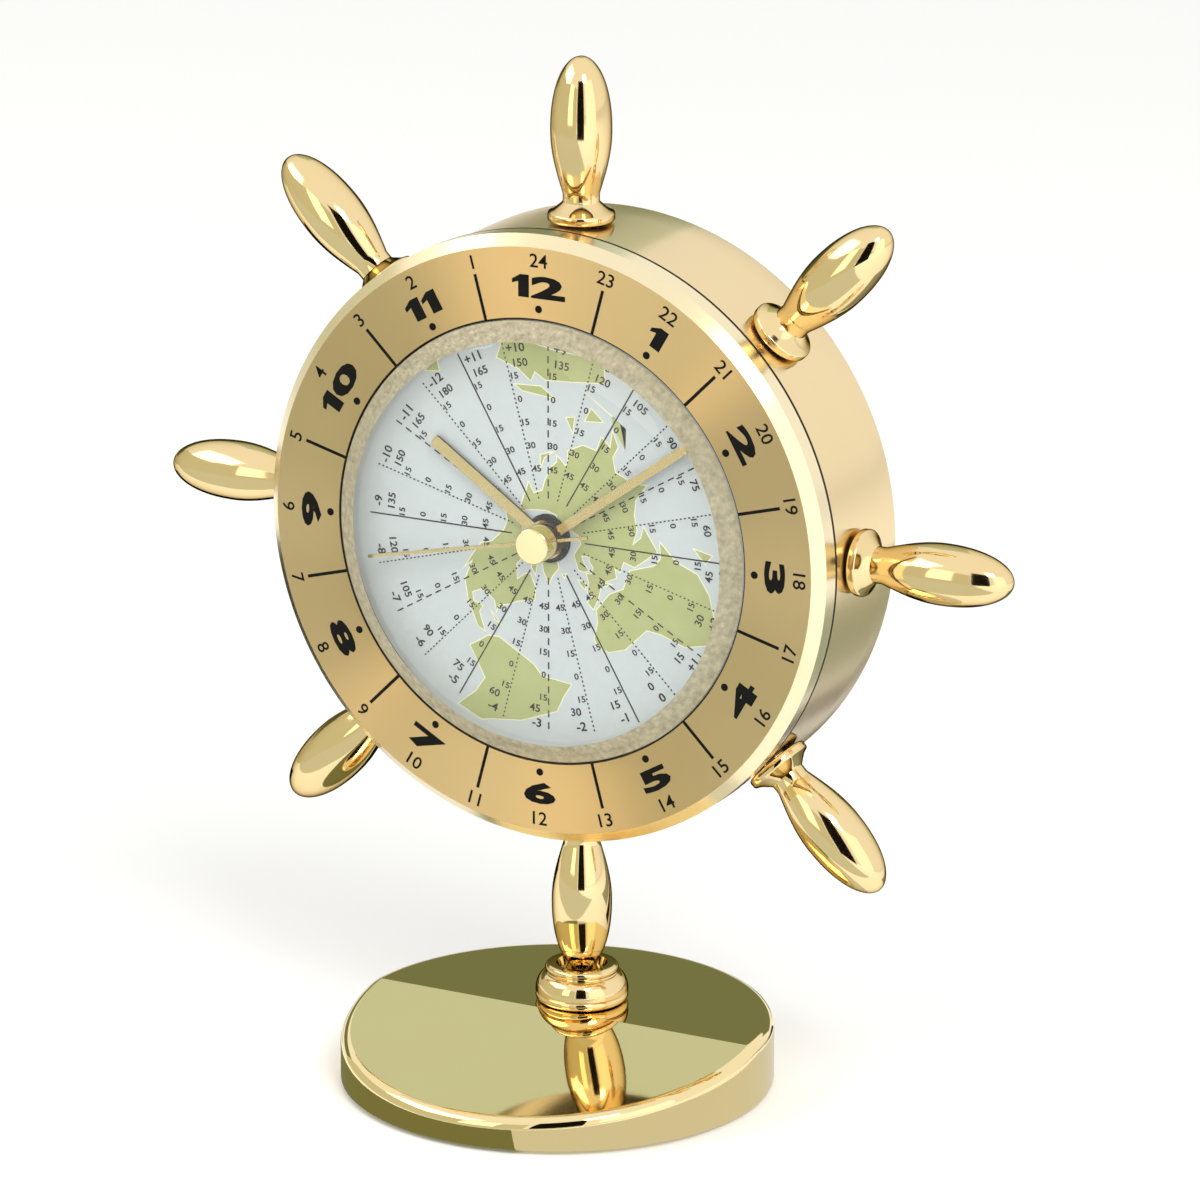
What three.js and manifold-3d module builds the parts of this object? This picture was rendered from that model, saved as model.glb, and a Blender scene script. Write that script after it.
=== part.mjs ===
// Ship wheel table clock: a round gold case with turned handles all round, the lowest of which is the stem
// that stands in a cup on a round polished base with a sloping front. A map disc turns once a day under
// the hands. Millimetres, +Z up, the dial faces -Y, and the origin is under the middle of the base.

import * as THREE from "three";
import { mergeVertices } from "three/addons/utils/BufferGeometryUtils.js";
import Module from "manifold-3d";

const wasm = await Module();
wasm.setup();

// Clearances
const SEAT_GAP = 0.3;
const FIT_GAP = 0.1;
const RUN_GAP = 0.2;
const LEVEL_GAP = 0.4;

// How far a cutting shape reaches past the piece that it cuts
const CUT_REACH = 1;

// Facets of round pieces, and steps along their curves
const RIM_FACETS = 40;
const HANDLE_FACETS = 12;
const HUB_FACETS = 16;
const PIN_FACETS = 8;
const ARC_STEPS = 3;
const NOSE_STEPS = 5;

// Base, felt pad, collar and the screw that holds them to the stem
const BASE_RADIUS = 33.4;
const BASE_HEIGHT = 10.2;
const BASE_FRONT_HEIGHT = 5;
const BASE_EDGE_ROUND = 1.6;
const CREASE_SETBACK = 1.2;
const STEM_SETBACK = 8;
const FELT_MARGIN = 3;
const FELT_THICKNESS = 1.2;
const FELT_PROUD = 0.4;
const COLLAR_RADIUS = 7.2;
const COLLAR_RIM_RADIUS = 5.7;
const COLLAR_HEIGHT = 5.9;
const COLLAR_FOOT_HEIGHT = 1.6;
const COLLAR_WAIST_HEIGHT = 4.5;
const COLLAR_DISH_RADIUS = 3.6;
const COLLAR_DISH_DEPTH = 1.4;
const COLLAR_GROOVE = 0.3;
const COLLAR_LIP = 0.45;
const BASE_SCREW_RADIUS = 1.0;
const BASE_SCREW_HEAD_RADIUS = 2.6;
const BASE_SCREW_HEAD_HEIGHT = 1.6;
const BASE_SCREW_GRIP = 3;
const STEM_BORE_DEPTH = 5;

// Case drum, bezel and crystal; depths count from the plane of the handles
const DRUM_RADIUS = 46.6;
const DRUM_WALL = 1.7;
const DRUM_AHEAD = 8;
const DRUM_EDGE = 0.5;
const LEDGE_THICKNESS = 1;
const BEZEL_OVERHANG = 0.6;
const BEZEL_ROUND = 1.7;
const BEZEL_AHEAD = 13.5;
const BEZEL_LIP = 0.8;
const BEZEL_SPIGOT_WALL = 1.2;
const BEZEL_SPIGOT_LENGTH = 3.4;
const DIAL_OPENING_RADIUS = 34.35;
const CRYSTAL_OVERLAP = 1.7;
const CRYSTAL_THICKNESS = 1;
const CRYSTAL_CLEAR = 0.5;
const CRYSTAL_STEPS = 3;
const CRYSTAL_BEVEL_WIDTH = 3;
const CRYSTAL_BEVEL_RISE = 1.7;
const INNER_RING_DEPTH = 0.9;

// Handles
const HANDLE_COUNT = 8;
const HANDLE_LENGTH = 25.1;
const HANDLE_RADIUS = 4.66;
const NECK_RADIUS = 2.8;
const FLANGE_RADIUS = 5.1;
const FLANGE_BAND = 1.5;
const FLANGE_HEIGHT = 2.6;
const FLANGE_ROUND = 0.45;
const NECK_HEIGHT = 4.2;
const BARREL_WIDEST = 9.6;
const BARREL_FULLNESS = 2.2;
const STUD_RADIUS = 2;

// Map disc, dial plate and hands
const MAP_DISC_THICKNESS = 0.6;
const DIAL_PLATE_THICKNESS = 1;
const DAY_HUB_RADIUS = 3.7;
const HAND_THICKNESS = 0.4;
const HAND_GAP = 0.3;
const HAND_LIFT = 0.6;
const HOUR_HAND_INSET = 11.05;
const HOUR_HAND_WIDTH = 1.85;
const HOUR_HUB_RADIUS = 3;
const MINUTE_HAND_INSET = 4.15;
const MINUTE_HAND_WIDTH = 1.45;
const MINUTE_HUB_RADIUS = 2.4;
const SECOND_HAND_INSET = 3.75;
const SECOND_HAND_WIDTH = 0.5;
const SECOND_HAND_TAIL = 8;
const SECOND_HUB_RADIUS = 1.6;
const HAND_CAP_RADIUS = 2.8;
const HAND_CAP_HEIGHT = 3;
const HAND_CAP_EDGE = 0.3;
const SHOWN_HOUR = 10;
const SHOWN_MINUTE = 9;
const SHOWN_SECOND = 43;

// Movement housing
const HOUSING_CORNER = 3;
const HOUSING_WALL = 1.4;
const HOUSING_HEADROOM = 3.5;
const FRONT_WALL = 1;
const REAR_WALL = 1.2;
const BAY_CLEAR = 0.9;
const BACK_ROOM = 2.7;

// Wheels of the movement
const WHEEL_THICKNESS = 0.8;
const ARBOR_RADIUS = 0.5;
const SECOND_ARBOR_RADIUS = 0.45;
const TUBE_WALL = 0.5;
const MOTION_MODULE = 5 / 12;
const HOUR_MODULE = 0.4;
const DAY_MODULE = 0.5;
const CENTRE_MODULE = 0.34;
const THIRD_MODULE = 0.36;
const SECOND_MODULE = 0.45;
const STEP_MODULE = 0.36;
const CANNON_TEETH = 12;
const MINUTE_WHEEL_TEETH = 36;
const MINUTE_PINION_TEETH = 10;
const HOUR_WHEEL_TEETH = 40;
const IDLER_WHEEL_TEETH = 36;
const IDLER_PINION_TEETH = 8;
const DAY_WHEEL_TEETH = 64;
const SETTING_TEETH = 12;
const CENTRE_WHEEL_TEETH = 64;
const THIRD_PINION_TEETH = 8;
const THIRD_WHEEL_TEETH = 60;
const SECOND_PINION_TEETH = 8;
const SECOND_WHEEL_TEETH = 40;
const STEP_PINION_TEETH = 8;
const STEP_WHEEL_TEETH = 48;
const ROTOR_PINION_TEETH = 8;
const TOOTH_RISE = 0.6;
const TOOTH_ROOT = 1.5;
const TOOTH_TIP_SHARE = 0.12;
const MINUTE_WHEEL_BEARING = -45;
const SETTING_BEARING = -5;
const THIRD_WHEEL_BEARING = 180;
const STEP_WHEEL_BEARING = 60;
const ROTOR_BEARING = 60;
const ROTOR_RADIUS = 2.5;
const ROTOR_LENGTH = 2.1;
const ROTOR_CLEAR = 0.45;

// Stator, coil and circuit board
const STATOR_THICKNESS = 0.8;
const STATOR_BAR_WIDTH = 3;
const STATOR_BLOCK_WIDTH = 10;
const STATOR_BLOCK_SIDE = 5.2;
const STATOR_BLOCK_CORNER = 1;
const STATOR_BAR_BARE = 9.3;
const STATOR_POST_RADIUS = 1.2;
const COIL_RADIUS = 2.9;
const COIL_LENGTH = 12;
const BOARD_WIDTH = 20;
const BOARD_HEIGHT = 10;
const BOARD_THICKNESS = 0.8;
const BOARD_MARGIN = 1.4;
const BOARD_LIFT = 3.8;

// Battery, its contacts and the back of the case
const BATTERY_RADIUS = 7.1;
const BATTERY_LENGTH = 49.4;
const BATTERY_NUB_RADIUS = 2.7;
const BATTERY_NUB_LENGTH = 1.2;
const BATTERY_ROOM = 0.7;
const CONTACT_THICKNESS = 0.5;
const CONTACT_WIDTH = 9;
const CONTACT_HEIGHT = 10;
const BACK_COVER_THICKNESS = 1.5;
const COVER_PLAY = 0.3;
const DOOR_MARGIN = 1.5;
const DOOR_CORNER = 1.2;
const DOOR_TONGUE_WIDTH = 2.4;
const DOOR_TONGUE_LENGTH = 26;
const DOOR_RIB_COUNT = 3;
const DOOR_RIB_WIDTH = 1.2;
const DOOR_RIB_LENGTH = 17.5;
const KNOB_RADIUS = 5;
const KNOB_PROUD = 0.5;
const KNOB_RIBS = 20;
const KNOB_RIB_DEPTH = 0.35;
const COVER_SCREW_COUNT = 4;
const COVER_SCREW_BEARING = 22.5;
const SCREW_RADIUS = 0.8;
const SCREW_HEAD_RADIUS = 1.2;
const SCREW_HEAD_HEIGHT = 0.7;
const MOVEMENT_SCREW_INSET = 4.2;

// Radii worked out from the sizes above
const drumBore = DRUM_RADIUS - DRUM_WALL;
const bezelRadius = DRUM_RADIUS + BEZEL_OVERHANG;
const feltRadius = BASE_RADIUS - FELT_MARGIN;
const rabbetRadius = DIAL_OPENING_RADIUS + CRYSTAL_OVERLAP;
const spigotRadius = drumBore - FIT_GAP;
const spigotBore = spigotRadius - BEZEL_SPIGOT_WALL;
const ledgeWidth = 2 * (SCREW_HEAD_RADIUS + SEAT_GAP);
const secondTubeBore = SECOND_ARBOR_RADIUS + RUN_GAP;
const minuteTubeRadius = secondTubeBore + TUBE_WALL;
const hourTubeBore = minuteTubeRadius + RUN_GAP;
const hourTubeRadius = hourTubeBore + TUBE_WALL;
const dayTubeBore = hourTubeRadius + RUN_GAP;

// Heights worked out from the sizes above
const collarFloor = BASE_HEIGHT + FIT_GAP + COLLAR_HEIGHT - COLLAR_DISH_DEPTH;
const wheelRadius = DRUM_RADIUS + SEAT_GAP + HANDLE_LENGTH;
const axisHeight = collarFloor + SEAT_GAP + wheelRadius;

// Depths from the face of the bezel back to the dial plate, and of the hands in front of the map disc
const faceY = -BEZEL_AHEAD;
const crystalFrontY = faceY + BEZEL_LIP + FIT_GAP;
const crystalBackY = crystalFrontY + CRYSTAL_THICKNESS;
const innerRingFrontY = crystalBackY + FIT_GAP;
const innerRingBackY = innerRingFrontY + INNER_RING_DEPTH;
const mapFrontY = innerRingBackY + LEVEL_GAP;
const mapBackY = mapFrontY + MAP_DISC_THICKNESS;
const dialPlateFrontY = mapBackY + LEVEL_GAP;
const dialPlateBackY = dialPlateFrontY + DIAL_PLATE_THICKNESS;
const hourHandY = mapFrontY - HAND_LIFT - HAND_THICKNESS;
const minuteHandY = hourHandY - HAND_GAP - HAND_THICKNESS;
const secondHandY = minuteHandY - HAND_GAP - HAND_THICKNESS;
const capBackY = secondHandY - FIT_GAP;
const capFrontY = capBackY - HAND_CAP_HEIGHT;
const crystalTopY = capFrontY - CRYSTAL_CLEAR - CRYSTAL_THICKNESS;

// Depths through the movement, where each level holds one layer of wheels
const DAY_LEVEL = 0;
const HOUR_LEVEL = 1;
const MOTION_LEVEL = 2;
const BRIDGE_LEVEL = 3;
const CENTRE_LEVEL = 4;
const THIRD_LEVEL = 5;
const SECOND_LEVEL = 6;
const STEP_LEVEL = 7;
const housingFrontY = dialPlateBackY + SEAT_GAP;
const housingInnerY = housingFrontY + FRONT_WALL;
const levelY = (level) => housingInnerY + LEVEL_GAP + level * (WHEEL_THICKNESS + LEVEL_GAP);
const wheelBackY = (level) => levelY(level) + WHEEL_THICKNESS;
const bridgeMiddleY = levelY(BRIDGE_LEVEL) + WHEEL_THICKNESS / 2;
const statorMiddleY = wheelBackY(STEP_LEVEL) + ROTOR_CLEAR + ROTOR_LENGTH / 2;
const statorFrontY = statorMiddleY - STATOR_THICKNESS / 2;
const statorBackY = statorMiddleY + STATOR_THICKNESS / 2;
const rearWallFrontY = statorMiddleY + Math.max(COIL_RADIUS, ROTOR_LENGTH / 2) + SEAT_GAP;
const rearWallBackY = rearWallFrontY + REAR_WALL;
const arborFrontY = housingFrontY + FRONT_WALL / 2;
const arborBackY = rearWallFrontY + REAR_WALL / 2;
const batteryY = housingInnerY + LEVEL_GAP + BATTERY_RADIUS;
const batteryBackY = batteryY + BATTERY_RADIUS;

// Depths of the drum and of the back cover let into it
const coverFrontY = Math.max(rearWallBackY, batteryBackY) + BACK_ROOM;
const coverBackY = coverFrontY + BACK_COVER_THICKNESS;
const ledgeBackY = coverFrontY - FIT_GAP;
const ledgeFrontY = ledgeBackY - LEDGE_THICKNESS;
const drumFrontY = -DRUM_AHEAD;
const drumBackY = coverBackY + COVER_PLAY;
const bezelBackY = drumFrontY - RUN_GAP;

// Materials
function standard(color, roughness, metalness) {
  return new THREE.MeshStandardMaterial({ color, roughness, metalness });
}

const polishedGold = () => standard(0xe0bb62, 0.08, 1);
const satinGold = () => standard(0xd9bf83, 0.35, 1);
const brass = () => standard(0xc9a24f, 0.3, 1);
const steel = () => standard(0xb9bcc0, 0.3, 1);
const blackPlastic = () => standard(0x17181a, 0.5, 0);
const whitePlastic = () => standard(0xe4e2da, 0.5, 0);

// The place at a bearing, in degrees, and a distance from another place
function away(from, bearing, distance) {
  const angle = THREE.MathUtils.degToRad(bearing);
  return [from[0] + distance * Math.cos(angle), from[1] + distance * Math.sin(angle)];
}

// A profile of [radius, height] pairs turned about the Y axis
function turned(profile, facets) {
  return new THREE.LatheGeometry(profile.map(([r, h]) => new THREE.Vector2(r, h)), facets);
}

// The same, standing up along Z
function standing(profile, facets) {
  return turned(profile, facets).rotateX(Math.PI / 2);
}

// Points of a quarter arc from one end to the other, both ends left out
function arcPoints(centre, radius, fromDeg, toDeg, steps = ARC_STEPS) {
  const points = [];
  for (let i = 1; i < steps; i += 1) {
    points.push(away(centre, THREE.MathUtils.lerp(fromDeg, toDeg, i / steps), radius));
  }
  return points;
}

// A flat outline in X and Z, given its thickness along Y
function plate(shape, frontY, backY) {
  const options = { depth: backY - frontY, bevelEnabled: false };
  return new THREE.ExtrudeGeometry(shape, options).rotateX(Math.PI / 2).translate(0, backY, 0);
}

function box(low, high) {
  const size = high.map((value, i) => value - low[i]);
  const middle = high.map((value, i) => (value + low[i]) / 2);
  return new THREE.BoxGeometry(...size).translate(...middle);
}

function pin(radius, frontY, backY, place = [0, 0], facets = PIN_FACETS) {
  return turned([[0, frontY], [radius, frontY], [radius, backY], [0, backY]], facets)
    .translate(place[0], 0, place[1]);
}

function tube(radius, bore, frontY, backY, facets = HUB_FACETS) {
  const profile = [[bore, frontY], [radius, frontY], [radius, backY], [bore, backY], [bore, frontY]];
  return turned(profile, facets);
}

function ring(place, radius, facets) {
  const points = [];
  for (let i = 0; i < facets; i += 1) {
    points.push(new THREE.Vector2(...away(place, (360 * i) / facets, radius)));
  }
  return points;
}

const disc = (radius, facets) => new THREE.Shape(ring([0, 0], radius, facets));
const roundHole = (place, radius, facets = PIN_FACETS) => new THREE.Path(ring(place, radius, facets));

function roundedOutline(left, bottom, right, top, corner) {
  const corners = [[right - corner, top - corner], [left + corner, top - corner],
    [left + corner, bottom + corner], [right - corner, bottom + corner]];
  const points = corners.flatMap((centre, i) => {
    const begin = away(centre, 90 * i, corner);
    const end = away(centre, 90 * (i + 1), corner);
    return [begin, ...arcPoints(centre, corner, 90 * i, 90 * (i + 1)), end];
  });
  return new THREE.Shape(points.map(([x, z]) => new THREE.Vector2(x, z)));
}

// Joins and cuts between closed meshes
const MERGE_DISTANCE = 1e-5;
function toSolid(geometry) {
  const bare = geometry.clone();
  bare.deleteAttribute("normal");
  bare.deleteAttribute("uv");
  const merged = mergeVertices(bare, MERGE_DISTANCE);
  const index = merged.index.array;
  const faces = [];
  for (let i = 0; i < index.length; i += 3) {
    const [a, b, c] = index.slice(i, i + 3);
    if (a !== b && b !== c && c !== a) faces.push(a, b, c);
  }
  const vertProperties = new Float32Array(merged.attributes.position.array);
  return new wasm.Manifold(new wasm.Mesh({ numProp: 3, vertProperties, triVerts: new Uint32Array(faces) }));
}

function toGeometry(solid) {
  const mesh = solid.getMesh();
  const geometry = new THREE.BufferGeometry();
  geometry.setAttribute("position", new THREE.BufferAttribute(new Float32Array(mesh.vertProperties), 3));
  geometry.setIndex(new THREE.BufferAttribute(new Uint32Array(mesh.triVerts), 1));
  geometry.computeVertexNormals();
  return geometry;
}

function join(...geometries) {
  return toGeometry(geometries.map(toSolid).reduce((sum, solid) => sum.add(solid)));
}

function cut(geometry, ...tools) {
  return toGeometry(tools.map(toSolid).reduce((sum, tool) => sum.subtract(tool), toSolid(geometry)));
}

function common(first, second) {
  return toGeometry(toSolid(first).intersect(toSolid(second)));
}

// Gear outline about the origin; the first tooth points along the bearing, in degrees
const pitchRadius = (teeth, module) => (teeth * module) / 2;
const tipRadius = (teeth, module) => pitchRadius(teeth, module) + TOOTH_RISE * module;

function gearOutline(teeth, module, bearing) {
  const tip = tipRadius(teeth, module);
  const root = pitchRadius(teeth, module) - TOOTH_ROOT * module;
  const step = 360 / teeth;
  const halfTip = (TOOTH_TIP_SHARE / 2) * step;
  const points = [];
  for (let i = 0; i < teeth; i += 1) {
    const tooth = bearing + i * step;
    points.push(away([0, 0], tooth - halfTip, tip));
    points.push(away([0, 0], tooth + halfTip, tip));
    points.push(away([0, 0], tooth + step / 2, root));
  }
  return new THREE.Shape(points.map(([x, z]) => new THREE.Vector2(x, z)));
}

function gear(teeth, module, level, bearing, place = [0, 0], bore = 0) {
  const outline = gearOutline(teeth, module, bearing);
  if (bore > 0) outline.holes.push(roundHole([0, 0], bore, HUB_FACETS));
  return plate(outline, levelY(level), wheelBackY(level)).translate(place[0], 0, place[1]);
}

// Distance between two meshed wheels, and the bearings that set a tooth of one in a gap of the other
const meshReach = (teethA, teethB, module) => pitchRadius(teethA + teethB, module);
const bearingTo = (from, to) => THREE.MathUtils.radToDeg(Math.atan2(to[1] - from[1], to[0] - from[0]));
const gapTowards = (from, to, teeth) => bearingTo(from, to) + 180 / teeth;

// Where the arbors stand behind the dial, as X and Z from the middle
const middle = [0, 0];
const minuteReach = meshReach(CANNON_TEETH, MINUTE_WHEEL_TEETH, MOTION_MODULE);
const minutePlace = away(middle, MINUTE_WHEEL_BEARING, minuteReach);
const idlerReach = meshReach(IDLER_PINION_TEETH, DAY_WHEEL_TEETH, DAY_MODULE);
const idlerSpan = meshReach(MINUTE_WHEEL_TEETH, IDLER_WHEEL_TEETH, MOTION_MODULE);
const idlerTurn = THREE.MathUtils.radToDeg(
  Math.acos((minuteReach ** 2 + idlerReach ** 2 - idlerSpan ** 2) / (2 * minuteReach * idlerReach)));
const idlerPlace = away(middle, MINUTE_WHEEL_BEARING + idlerTurn, idlerReach);
const settingReach = meshReach(SETTING_TEETH, MINUTE_WHEEL_TEETH, MOTION_MODULE);
const settingPlace = away(minutePlace, SETTING_BEARING, settingReach);
const thirdReach = meshReach(SECOND_PINION_TEETH, THIRD_WHEEL_TEETH, THIRD_MODULE);
const thirdPlace = away(middle, THIRD_WHEEL_BEARING, thirdReach);
const stepReach = meshReach(STEP_PINION_TEETH, SECOND_WHEEL_TEETH, SECOND_MODULE);
const stepPlace = away(middle, STEP_WHEEL_BEARING, stepReach);
const rotorReach = meshReach(ROTOR_PINION_TEETH, STEP_WHEEL_TEETH, STEP_MODULE);
const rotorPlace = away(stepPlace, ROTOR_BEARING, rotorReach);

// Inside of the movement housing: the battery bay below, and room for the wheels and the stator above
const bayHalf = (BATTERY_NUB_LENGTH + BATTERY_LENGTH) / 2 + SEAT_GAP + CONTACT_THICKNESS + FIT_GAP;
const bayTop = minutePlace[1] - tipRadius(MINUTE_WHEEL_TEETH, MOTION_MODULE) - BAY_CLEAR;
const bayBottom = bayTop - 2 * BATTERY_RADIUS - BATTERY_ROOM;
const batteryHeight = (bayTop + bayBottom) / 2;
const idlerEdge = idlerPlace[0] + tipRadius(IDLER_WHEEL_TEETH, MOTION_MODULE) + LEVEL_GAP;
const thirdEdge = tipRadius(THIRD_WHEEL_TEETH, THIRD_MODULE) - thirdPlace[0] + LEVEL_GAP;
const trainHalf = Math.max(bayHalf, idlerEdge, thirdEdge);
const trainTop = rotorPlace[1] + STATOR_BLOCK_WIDTH / 2 + HOUSING_HEADROOM;
const trainBottom = bayTop + HOUSING_WALL;

const clock = new THREE.Group();
const wheel = new THREE.Group();
wheel.position.set(0, STEM_SETBACK, axisHeight);
clock.add(wheel);

function addPiece(parent, name, geometry, material) {
  const piece = new THREE.Mesh(geometry, material);
  piece.name = name;
  parent.add(piece);
  return piece;
}

// Base: a disc with a rounded edge whose front half slopes down, with a felt pad let into its underside
function baseBody() {
  const inner = BASE_RADIUS - BASE_EDGE_ROUND;
  const foot = FELT_PROUD;
  const shoulder = BASE_HEIGHT - BASE_EDGE_ROUND;
  const profile = [[0, foot], [BASE_RADIUS, foot], [BASE_RADIUS, shoulder],
    ...arcPoints([inner, shoulder], BASE_EDGE_ROUND, 0, 90), [inner, BASE_HEIGHT], [0, BASE_HEIGHT]];
  const flat = standing(profile, RIM_FACETS);
  const sloped = flat.clone();
  const slope = (BASE_HEIGHT - BASE_FRONT_HEIGHT) / (BASE_RADIUS + CREASE_SETBACK);
  const position = sloped.attributes.position;
  for (let i = 0; i < position.count; i += 1) {
    const lift = slope * (position.getY(i) - CREASE_SETBACK);
    if (position.getZ(i) > (foot + shoulder) / 2) position.setZ(i, position.getZ(i) + lift);
  }
  const recessRadius = feltRadius + FIT_GAP;
  const recessTop = FELT_THICKNESS + FIT_GAP;
  const recess = standing([[0, 0], [recessRadius, 0], [recessRadius, recessTop], [0, recessTop]], RIM_FACETS);
  const headHole = BASE_SCREW_HEAD_RADIUS + RUN_GAP;
  const shankHole = BASE_SCREW_RADIUS + RUN_GAP;
  const seat = recessTop + FIT_GAP + BASE_SCREW_HEAD_HEIGHT + SEAT_GAP;
  const holeTop = BASE_HEIGHT + CUT_REACH;
  const screwHole = standing([[0, 0], [headHole, 0], [headHole, seat], [shankHole, seat],
    [shankHole, holeTop], [0, holeTop]], HUB_FACETS).translate(0, STEM_SETBACK, 0);
  return cut(common(flat, sloped), recess, screwHole);
}

function feltPad() {
  return standing([[0, 0], [feltRadius, 0], [feltRadius, FELT_THICKNESS], [0, FELT_THICKNESS]], RIM_FACETS);
}

function baseScrew() {
  const under = FELT_THICKNESS + 2 * FIT_GAP;
  const shoulder = under + BASE_SCREW_HEAD_HEIGHT;
  const end = collarFloor + SEAT_GAP + BASE_SCREW_GRIP;
  const profile = [[0, under], [BASE_SCREW_HEAD_RADIUS, under], [BASE_SCREW_HEAD_RADIUS, shoulder],
    [BASE_SCREW_RADIUS, shoulder], [BASE_SCREW_RADIUS, end], [0, end]];
  return standing(profile, HUB_FACETS).translate(0, STEM_SETBACK, 0);
}

// Collar: a domed cup on a grooved foot, with a shallow dish that takes the tip of the stem
function stemCollar() {
  const bottom = BASE_HEIGHT + FIT_GAP;
  const top = bottom + COLLAR_HEIGHT;
  const groove = bottom + COLLAR_FOOT_HEIGHT;
  const waist = bottom + COLLAR_WAIST_HEIGHT;
  const bore = BASE_SCREW_RADIUS + RUN_GAP;
  const grooveRadius = COLLAR_RADIUS - COLLAR_GROOVE;
  const waistRadius = COLLAR_RIM_RADIUS - COLLAR_GROOVE;
  const dome = [];
  for (let i = 0; i <= ARC_STEPS; i += 1) {
    const angle = (Math.PI / 2) * (i / ARC_STEPS);
    dome.push([THREE.MathUtils.lerp(waistRadius, COLLAR_RADIUS, Math.cos(angle)),
      THREE.MathUtils.lerp(groove + COLLAR_GROOVE, waist, Math.sin(angle))]);
  }
  const profile = [[bore, bottom], [grooveRadius, bottom], [COLLAR_RADIUS, bottom + COLLAR_GROOVE],
    [COLLAR_RADIUS, groove - COLLAR_GROOVE], [grooveRadius, groove], ...dome,
    [COLLAR_RIM_RADIUS, top - COLLAR_GROOVE], [COLLAR_RIM_RADIUS, top], [COLLAR_RIM_RADIUS - COLLAR_LIP, top],
    [COLLAR_DISH_RADIUS, collarFloor], [bore, collarFloor], [bore, bottom]];
  return standing(profile, HUB_FACETS).translate(0, STEM_SETBACK, 0);
}

addPiece(clock, "base_body", baseBody(), polishedGold());
addPiece(clock, "base_felt_pad", feltPad(), standard(0x2d4a34, 0.95, 0));
addPiece(clock, "base_screw", baseScrew(), steel());
addPiece(clock, "stem_collar", stemCollar(), polishedGold());

// Handles: a turned barrel on a neck and a domed flange, with a stud through the drum wall.
// Heights count outwards from the drum, and the stem has a bore in its tip for the base screw.
function handle(isStem) {
  const foot = SEAT_GAP;
  const tip = foot + HANDLE_LENGTH;
  const studEnd = -DRUM_WALL - SEAT_GAP;
  const bandTop = foot + FLANGE_BAND;
  const flangeTop = foot + FLANGE_HEIGHT;
  const neck = foot + NECK_HEIGHT;
  const widest = neck + BARREL_WIDEST;
  const profile = [[0, studEnd], [STUD_RADIUS, studEnd], [STUD_RADIUS, foot],
    [FLANGE_RADIUS - FLANGE_ROUND, foot], [FLANGE_RADIUS, foot + FLANGE_ROUND],
    [FLANGE_RADIUS, bandTop], [FLANGE_RADIUS - 2 * FLANGE_ROUND, bandTop + FLANGE_ROUND],
    [NECK_RADIUS, flangeTop], [NECK_RADIUS, neck]];
  for (let i = 1; i <= ARC_STEPS; i += 1) {
    const share = i / ARC_STEPS;
    const swell = Math.sin((Math.PI / 2) * share);
    profile.push([THREE.MathUtils.lerp(NECK_RADIUS, HANDLE_RADIUS, swell),
      THREE.MathUtils.lerp(neck, widest, share)]);
  }
  for (let i = 1; i < NOSE_STEPS; i += 1) {
    const share = Math.sin((Math.PI / 2) * (i / NOSE_STEPS));
    profile.push([HANDLE_RADIUS * Math.sqrt(1 - share ** BARREL_FULLNESS),
      THREE.MathUtils.lerp(widest, tip, share)]);
  }
  const bore = BASE_SCREW_RADIUS + RUN_GAP;
  const boreEnd = tip - STEM_BORE_DEPTH;
  const end = isStem ? [[bore, tip], [bore, boreEnd], [0, boreEnd]] : [[0, tip]];
  return turned([...profile, ...end], HANDLE_FACETS);
}

// The first handle is the stem, which points down, and the others are numbered clockwise from it
for (let i = 0; i < HANDLE_COUNT; i += 1) {
  const isStem = i === 0;
  const socket = new THREE.Group();
  socket.rotation.y = Math.PI + (2 * Math.PI * i) / HANDLE_COUNT;
  wheel.add(socket);
  const grip = addPiece(socket, isStem ? "handle_stem" : `handle_${i}`, handle(isStem), polishedGold());
  grip.rotation.x = Math.PI / 2;
  grip.position.z = DRUM_RADIUS;
}

// Case: the drum with its stud holes and the ledge that the back cover is screwed to, and the bezel
const coverScrewPlaces = [];
for (let i = 0; i < COVER_SCREW_COUNT; i += 1) {
  const bearing = COVER_SCREW_BEARING + (360 / COVER_SCREW_COUNT) * i;
  coverScrewPlaces.push(away(middle, bearing, drumBore - ledgeWidth / 2));
}

function drumCase() {
  const ledgeBore = drumBore - ledgeWidth;
  const shell = turned([[drumBore, drumFrontY], [DRUM_RADIUS, drumFrontY],
    [DRUM_RADIUS, drumBackY - DRUM_EDGE], [DRUM_RADIUS - DRUM_EDGE, drumBackY], [drumBore, drumBackY],
    [drumBore, ledgeBackY], [ledgeBore, ledgeBackY], [ledgeBore, ledgeFrontY], [drumBore, ledgeFrontY],
    [drumBore, drumFrontY]], RIM_FACETS);
  const holeRadius = STUD_RADIUS + SEAT_GAP;
  const holeLow = drumBore - CUT_REACH;
  const holeHigh = DRUM_RADIUS + CUT_REACH;
  const studHoles = [];
  for (let i = 0; i < HANDLE_COUNT; i += 1) {
    const hole = standing([[0, holeLow], [holeRadius, holeLow], [holeRadius, holeHigh], [0, holeHigh]],
      HANDLE_FACETS);
    studHoles.push(hole.rotateY(Math.PI + (2 * Math.PI * i) / HANDLE_COUNT));
  }
  const screwHoles = coverScrewPlaces.map((place) =>
    pin(SCREW_RADIUS + RUN_GAP, ledgeFrontY - CUT_REACH, ledgeBackY + CUT_REACH, place));
  return cut(shell, ...studHoles, ...screwHoles);
}

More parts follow.
